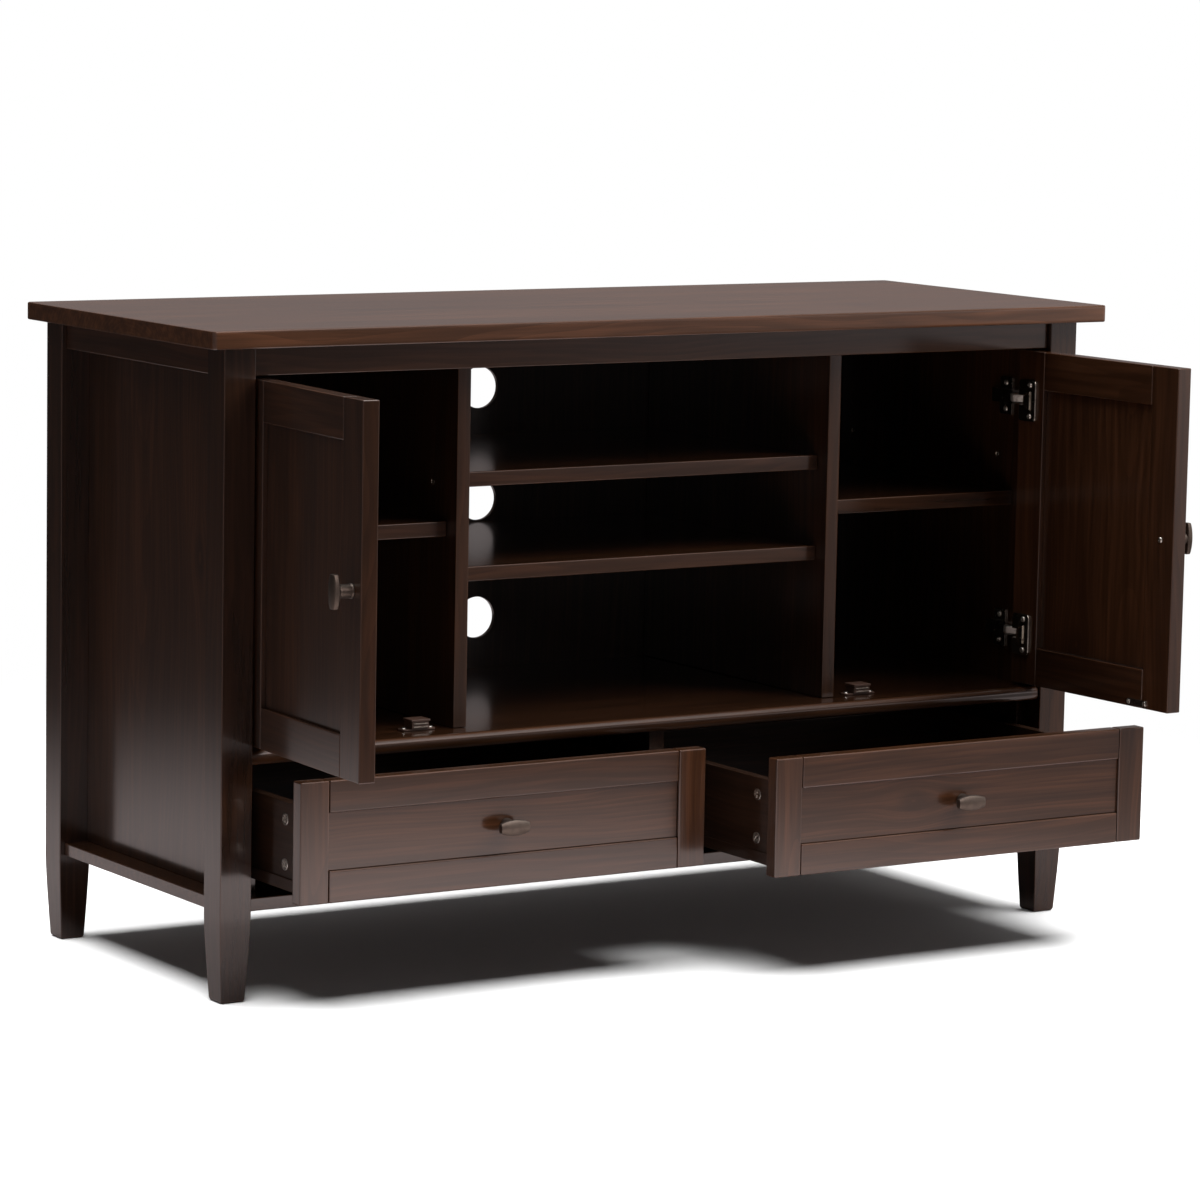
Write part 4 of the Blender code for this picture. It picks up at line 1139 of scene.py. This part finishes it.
def make_catch(side, screw):
    """A magnetic catch: a base with round ears, a box with a lid that oversails it, and two steel poles."""
    node = f"catch_{side}"
    corners = corners_of(node)
    low, high = span(corners)
    box_low, box_high = top_of(node)
    ear_low, ear_high = span([corner for corner in corners if abs(corner.x - low.x) < FIT])
    base = add_block(
        f"{node}_base", Vector((low.x, ear_low.y, low.z)), Vector((high.x, ear_high.y, ear_high.z))
    )
    round_edges(base, CATCH_EAR_ROUND, 6, runs_along(Z, (ear_high.z - low.z) / 2))
    round_edges(base, CATCH_BASE_EDGE, 2)
    smooth(base)
    fix(base, "cabinet", CATCH_BROWN)

    lap = Vector((CATCH_LID_LAP, CATCH_LID_LAP, 0))
    shell = add_block(
        f"{node}_shell",
        Vector((box_low.x, box_low.y, ear_high.z)) + lap,
        Vector((box_high.x, box_high.y, high.z - CATCH_LID_HEIGHT)) - lap,
    )
    middle = (box_low + box_high) / 2
    size = box_high - box_low
    under = size - 2 * lap
    bpy.ops.object.mode_set(mode="EDIT")
    pick(shell, "FACE", lambda face: face.normal.z > 0.9)
    bpy.ops.mesh.extrude_region_move(TRANSFORM_OT_translate={"value": (0, 0, 0)})
    bpy.ops.transform.resize(
        value=(size.x / under.x, size.y / under.y, 1), center_override=(middle.x, middle.y, 0)
    )
    bpy.ops.mesh.extrude_region_move(TRANSFORM_OT_translate={"value": (0, 0, CATCH_LID_HEIGHT)})
    close_shape()
    round_edges(shell, CATCH_SHELL_EDGE)
    smooth(shell)
    fix(shell, "cabinet", CATCH_BROWN, [node])

    for number, level in enumerate(POLE_LEVELS, 1):
        foot = low.z + level
        pole = add_block(
            f"{node}_pole_{number}",
            Vector((box_low.x + POLE_INSET, box_low.y + POLE_SINK, foot)),
            Vector((box_high.x - POLE_INSET, box_low.y + POLE_DEPTH, foot + POLE_THICKNESS)),
        )
        round_edges(pole, POLE_EDGE, 2)
        smooth(pole)
        fix(pole, "cabinet", NICKEL)

    for number, (end, way) in enumerate(((low.x, 1), (high.x, -1)), 1):
        place = Vector((end + way * CATCH_SCREW_INSET, (ear_low.y + ear_high.y) / 2, ear_high.z))
        put_copy(screw, f"{node}_screw_{number}", place, UP, way * CATCH_SCREW_TURN, "cabinet", ZINC)


# Cam fasteners
CAM_RADIUS = 6.5 * MILLIMETRE
CAM_SEGMENTS = 36
CAM_RINGS = ((0.3, 1.0), (0.55, 0.95), (0.65, 0.86), (0.45, 0.74), (0.45, 0.20))
CAM_FROM_FRONT = 34 * MILLIMETRE
CAM_HEIGHTS = (27 * MILLIMETRE, 76 * MILLIMETRE)
CAM_TURN = 0.8


def model_cam():
    """The head of a cam fastener: a flat disc with a cross and a rounded rim."""
    head = model_round("cam_model", CAM_RADIUS, CAM_SEGMENTS, CAM_RINGS)
    cut_cross(head, arm=4.0 * MILLIMETRE, wing=0.9 * MILLIMETRE, depth=0.1 * MILLIMETRE)
    smooth(head)
    return head


def put_cams(cam):
    """Two cam fasteners in the outer face of each drawer side hold it to the drawer's front."""
    for side, part in itertools.product(SIDES, ("outer_side", "inner_side")):
        node = f"drawer_{side}_{part}"
        low = span(corners_of(node))[0]
        face, way = outer_face(node)
        facing = Vector((way, 0, 0))
        for number, height in enumerate(CAM_HEIGHTS, 1):
            place = Vector((face, low.y + CAM_FROM_FRONT, low.z + height))
            put_copy(cam, f"{node}_cam_{number}", place, facing, number * CAM_TURN, BODY_OF[node], ZINC)


# Shelf pins
PIN_SEGMENTS = 24
PEG_RADIUS = 2.5 * MILLIMETRE
PEG_RINGS = ((6.8, 1.0), (7.6, 0.85), (8.0, 0.5))
SLEEVE_RADIUS = 3.4 * MILLIMETRE
SLEEVE_RINGS = ((0.5, 1.0), (0.8, 0.88), (0.8, 0.70), (0.1, 0.66))
PIN_FROM_EDGE = 32 * MILLIMETRE
SPARE_HOLE_RISE = 41 * MILLIMETRE


def put_shelf_pins():
    """Each side shelf lies on four round pegs; above each peg is a spare hole with its metal sleeve."""
    peg = model_round("peg_model", PEG_RADIUS, PIN_SEGMENTS, PEG_RINGS)
    sleeve = model_round("sleeve_model", SLEEVE_RADIUS, PIN_SEGMENTS, SLEEVE_RINGS)
    for model in (peg, sleeve):
        smooth(model)
    for side in SIDES:
        low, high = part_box(f"side_shelf_{side}")
        walls = ((low.x - FIT, 1), (high.x + FIT, -1))
        depths = (low.y + PIN_FROM_EDGE, high.y - PIN_FROM_EDGE)
        for number, ((wall, way), depth) in enumerate(itertools.product(walls, depths), 1):
            facing = Vector((way, 0, 0))
            under = Vector((wall, depth, low.z - PEG_RADIUS))
            put_copy(peg, f"shelf_peg_{side}_{number}", under, facing, 0.0, "cabinet", NICKEL)
            above = Vector((wall, depth, high.z + SPARE_HOLE_RISE))
            put_copy(sleeve, f"shelf_sleeve_{side}_{number}", above, facing, 0.0, "cabinet", NICKEL)
    for model in (peg, sleeve):
        bpy.data.objects.remove(model, do_unlink=True)


def make_fittings():
    """Everything of metal and plastic. Screws and cams are modelled once and copied."""
    screw = model_screw()
    cam = model_cam()
    put_knobs()
    put_screws(screw)
    put_cams(cam)
    put_shelf_pins()
    make_hinges()
    for side in SIDES:
        make_strike(side)
        make_catch(side, screw)
    for model in (screw, cam):
        bpy.data.objects.remove(model, do_unlink=True)


FLOOR_SIZE = 6.0
SWEEP_CENTRE = (-0.4, 0.15, 0.0)
SWEEP_START, SWEEP_END = 0.8, 2.1
PAPER = "#f4f4f4"
MIRRORED_PAPER_NEAR, MIRRORED_PAPER_AHEAD = "#978d8c", "#c4b7b5"


def make_floor():
    """A white paper sweep that fades out into the room."""
    bpy.ops.object.select_all(action="DESELECT")
    bpy.ops.mesh.primitive_plane_add(size=FLOOR_SIZE)
    sweep = claim("paper_sweep")
    material, tree, shader = new_material("white_paper")
    tree.nodes.remove(shader)
    place = add_node(tree, "ShaderNodeTexCoord").outputs["Object"]
    away = add_node(tree, "ShaderNodeVectorMath", {"operation": "DISTANCE"}, {0: place, 1: SWEEP_CENTRE})
    fade = add_node(
        tree, "ShaderNodeMapRange", SMOOTH_STEP,
        {"Value": away.outputs["Value"], "From Min": SWEEP_START, "From Max": SWEEP_END},
    )
    # In reflections the paper is warm and less bright, most of all beside and behind the stand
    ray = add_node(tree, "ShaderNodeLightPath")
    parts = add_node(tree, "ShaderNodeSeparateXYZ", None, {0: place})
    ahead = add_node(
        tree, "ShaderNodeMapRange", SMOOTH_STEP,
        {"Value": parts.outputs["Y"], "From Min": -0.25, "From Max": -0.7},
    )
    mirrored = add_node(
        tree, "ShaderNodeMix", COLOUR_MIX,
        {0: ahead, 6: linear(MIRRORED_PAPER_NEAR), 7: linear(MIRRORED_PAPER_AHEAD)},
    )
    shade = add_node(
        tree, "ShaderNodeMix", COLOUR_MIX,
        {0: ray.outputs["Is Camera Ray"], 6: mirrored.outputs[2], 7: linear(PAPER)},
    )
    paper = add_node(tree, "ShaderNodeBsdfDiffuse", None, {"Color": shade.outputs[2]})
    gone = add_node(tree, "ShaderNodeBsdfTransparent")
    mixed = add_node(tree, "ShaderNodeMixShader", None, {0: fade, 1: paper, 2: gone})
    tree.links.new(mixed.outputs[0], tree.nodes["Material Output"].inputs["Surface"])
    sweep.data.materials.append(material)
    return sweep


# How bright each part of the room is to the surfaces that it lights or that mirror it
DIM = 0.03
BESIDE_WALL, WALL_LIGHT = 0.02, 1.8
BACK_WALL_LIGHT = 0.19
LEFT_HALF_LIGHT = 0.24
WINDOW_LIGHT = 2.6
WINDOW_DIRECTION = Vector((0.18, -0.76, 0.60)).normalized()
MIRROR_TINT = "#fff0ee"


def make_world():
    """White where the camera looks past the stand, and a dim studio that lights it and shows in its gloss."""
    world = bpy.data.worlds.new("studio")
    world.use_nodes = True
    bpy.context.scene.world = world
    tree = world.node_tree
    background = tree.nodes["Background"]
    direction = add_node(tree, "ShaderNodeTexCoord").outputs["Generated"]
    parts = add_node(tree, "ShaderNodeSeparateXYZ", None, {0: direction})
    right, back, up = (parts.outputs[axis] for axis in (X, Y, Z))
    ray = add_node(tree, "ShaderNodeLightPath")
    tint = add_node(
        tree, "ShaderNodeMix", COLOUR_MIX,
        {0: ray.outputs["Is Glossy Ray"], 6: linear("#ffffff"), 7: linear(MIRROR_TINT)},
    )
    tree.links.new(tint.outputs[2], background.inputs["Color"])

    # A pale wall at the front right, as a low band that dims towards the floor and the ceiling
    wall = add_node(
        tree, "ShaderNodeMapRange", SMOOTH_STEP,
        {"Value": right, "From Min": 0.46, "From Max": 0.66, "To Min": BESIDE_WALL, "To Max": WALL_LIGHT},
    )
    front = add_node(
        tree, "ShaderNodeMapRange", SMOOTH_STEP,
        {"Value": back, "From Min": -0.4, "From Max": 0.4, "To Min": 1.0, "To Max": 0.0},
    )
    above_floor = add_node(
        tree, "ShaderNodeMapRange", SMOOTH_STEP,
        {"Value": up, "From Min": -0.13, "From Max": 0.06, "To Min": 0.2, "To Max": 1.0},
    )
    below_ceiling = add_node(
        tree, "ShaderNodeMapRange", SMOOTH_STEP,
        {"Value": up, "From Min": 0.06, "From Max": 0.2, "To Min": 1.0, "To Max": 0.1},
    )
    band = add_node(tree, "ShaderNodeMath", MULTIPLY, {0: above_floor, 1: below_ceiling})
    facing = add_node(tree, "ShaderNodeMath", MULTIPLY, {0: wall, 1: front})
    front_wall = add_node(tree, "ShaderNodeMath", MULTIPLY, {0: facing, 1: band})

    # Another wall behind on the right, which the top mirrors
    behind = add_node(
        tree, "ShaderNodeMapRange", SMOOTH_STEP,
        {"Value": right, "From Min": -0.2, "From Max": 0.3, "To Min": DIM, "To Max": BACK_WALL_LIGHT},
    )
    back_wall = add_node(tree, "ShaderNodeMix", NUMBER_MIX, {0: front, 2: behind, 3: DIM})
    room = add_node(tree, "ShaderNodeMath", MAXIMUM, {0: front_wall, 1: back_wall})

    # What only reflections see: a pale left half of the studio behind the camera, with one lit window in it
    left_half = add_node(
        tree, "ShaderNodeMapRange", SMOOTH_STEP,
        {"Value": right, "From Min": 0.0, "From Max": 0.35, "To Min": LEFT_HALF_LIGHT, "To Max": 0.0},
    )
    pale_half = add_node(tree, "ShaderNodeMath", MULTIPLY, {0: left_half, 1: front})
    towards = add_node(
        tree, "ShaderNodeVectorMath", {"operation": "DOT_PRODUCT"}, {0: direction, 1: WINDOW_DIRECTION}
    )
    window = add_node(
        tree, "ShaderNodeMapRange", SMOOTH_STEP,
        {"Value": towards.outputs["Value"], "From Min": 0.90, "From Max": 0.97, "To Max": WINDOW_LIGHT},
    )
    behind_camera = add_node(tree, "ShaderNodeMath", ADD, {0: pale_half, 1: window})
    reflected = add_node(
        tree, "ShaderNodeMath", MULTIPLY_ADD, {0: ray.outputs["Is Glossy Ray"], 1: behind_camera, 2: room}
    )
    seen = add_node(
        tree, "ShaderNodeMath", MAXIMUM,
        {0: ray.outputs["Is Camera Ray"], 1: ray.outputs["Is Transmission Ray"]},
    )
    strength = add_node(tree, "ShaderNodeMix", NUMBER_MIX, {0: seen, 2: reflected, 3: 1.0})
    tree.links.new(strength.outputs[0], background.inputs["Strength"])


def floor_links(name, floor, state):
    """A lamp's list that holds the floor alone, either as all that it lights or as what it passes over."""
    links = bpy.data.collections.new(name)
    links.objects.link(floor)
    links.collection_objects[0].light_linking.link_state = state
    return links


def add_softbox(name, place, aim, size, power, links, mirrored=True):
    """An area lamp; one that is not mirrored lights a surface without showing up in its gloss."""
    lamp = bpy.data.lights.new(name, "AREA")
    lamp.shape = "RECTANGLE"
    lamp.size, lamp.size_y = size
    lamp.energy = power
    box = bpy.data.objects.new(name, lamp)
    box.location = place
    box.rotation_euler = (Vector(aim) - Vector(place)).to_track_quat("-Z", "Y").to_euler()
    bpy.context.scene.collection.objects.link(box)
    box.light_linking.receiver_collection = links
    box.visible_glossy = mirrored


# Where each softbox hangs, what it points at and its size
OVERHEAD = {"place": (-0.2, 0.1, 3.0), "aim": (-0.1, 0.1, 0.0), "size": (2.4, 2.0)}
FRONT_RIGHT = {"place": (1.85, -1.3, 2.7), "aim": (0.0, 0.0, 0.4), "size": (2.4, 1.9)}
BACK_LEFT = {"place": (-2.2, 0.8, 3.0), "aim": (0.0, 0.1, 0.4), "size": (1.8, 1.6)}
ABOVE_FLOOR = {"place": (0.1, -0.4, 2.6), "aim": (0.1, -0.4, 0.0), "size": (3.8, 3.2)}


def add_lamps(floor):
    """Softboxes round the stand. The floor has its own, straight above, so that the shadow lies under it."""
    object_only = floor_links("object_only", floor, "EXCLUDE")
    floor_only = floor_links("floor_only", floor, "INCLUDE")
    add_softbox("overhead_softbox", **OVERHEAD, power=80, links=object_only)
    add_softbox("front_fill", **FRONT_RIGHT, power=62, links=object_only, mirrored=False)
    add_softbox("front_softbox", **FRONT_RIGHT, power=118, links=object_only)
    add_softbox("left_softbox", **BACK_LEFT, power=20, links=object_only)
    add_softbox("floor_softbox", **ABOVE_FLOOR, power=380, links=floor_only)


# The photograph's camera, from its edges and corners
CAMERA_PLACE = (-2.9782, -4.6020, 1.1339)
CAMERA_AZIMUTH = math.radians(32.579)
CAMERA_DROP = math.radians(7.639)
CAMERA_ROLL = math.radians(1.069)
CAMERA_LENS = 144.8
CAMERA_SENSOR = 36.0


def add_camera():
    """The camera, at the photograph's viewing angle."""
    data = bpy.data.cameras.new("camera")
    data.sensor_width = CAMERA_SENSOR
    data.lens = CAMERA_LENS
    camera = bpy.data.objects.new("camera", data)
    turn = Matrix.Rotation(-CAMERA_AZIMUTH, 4, "Z") @ Matrix.Rotation(math.pi / 2 - CAMERA_DROP, 4, "X")
    camera.matrix_world = Matrix.Translation(CAMERA_PLACE) @ turn @ Matrix.Rotation(CAMERA_ROLL, 4, "Z")
    bpy.context.scene.collection.objects.link(camera)
    bpy.context.scene.camera = camera


make_boards()
make_fittings()
add_lamps(make_floor())
make_world()
add_camera()
bpy.context.scene.view_settings.view_transform = "Standard"
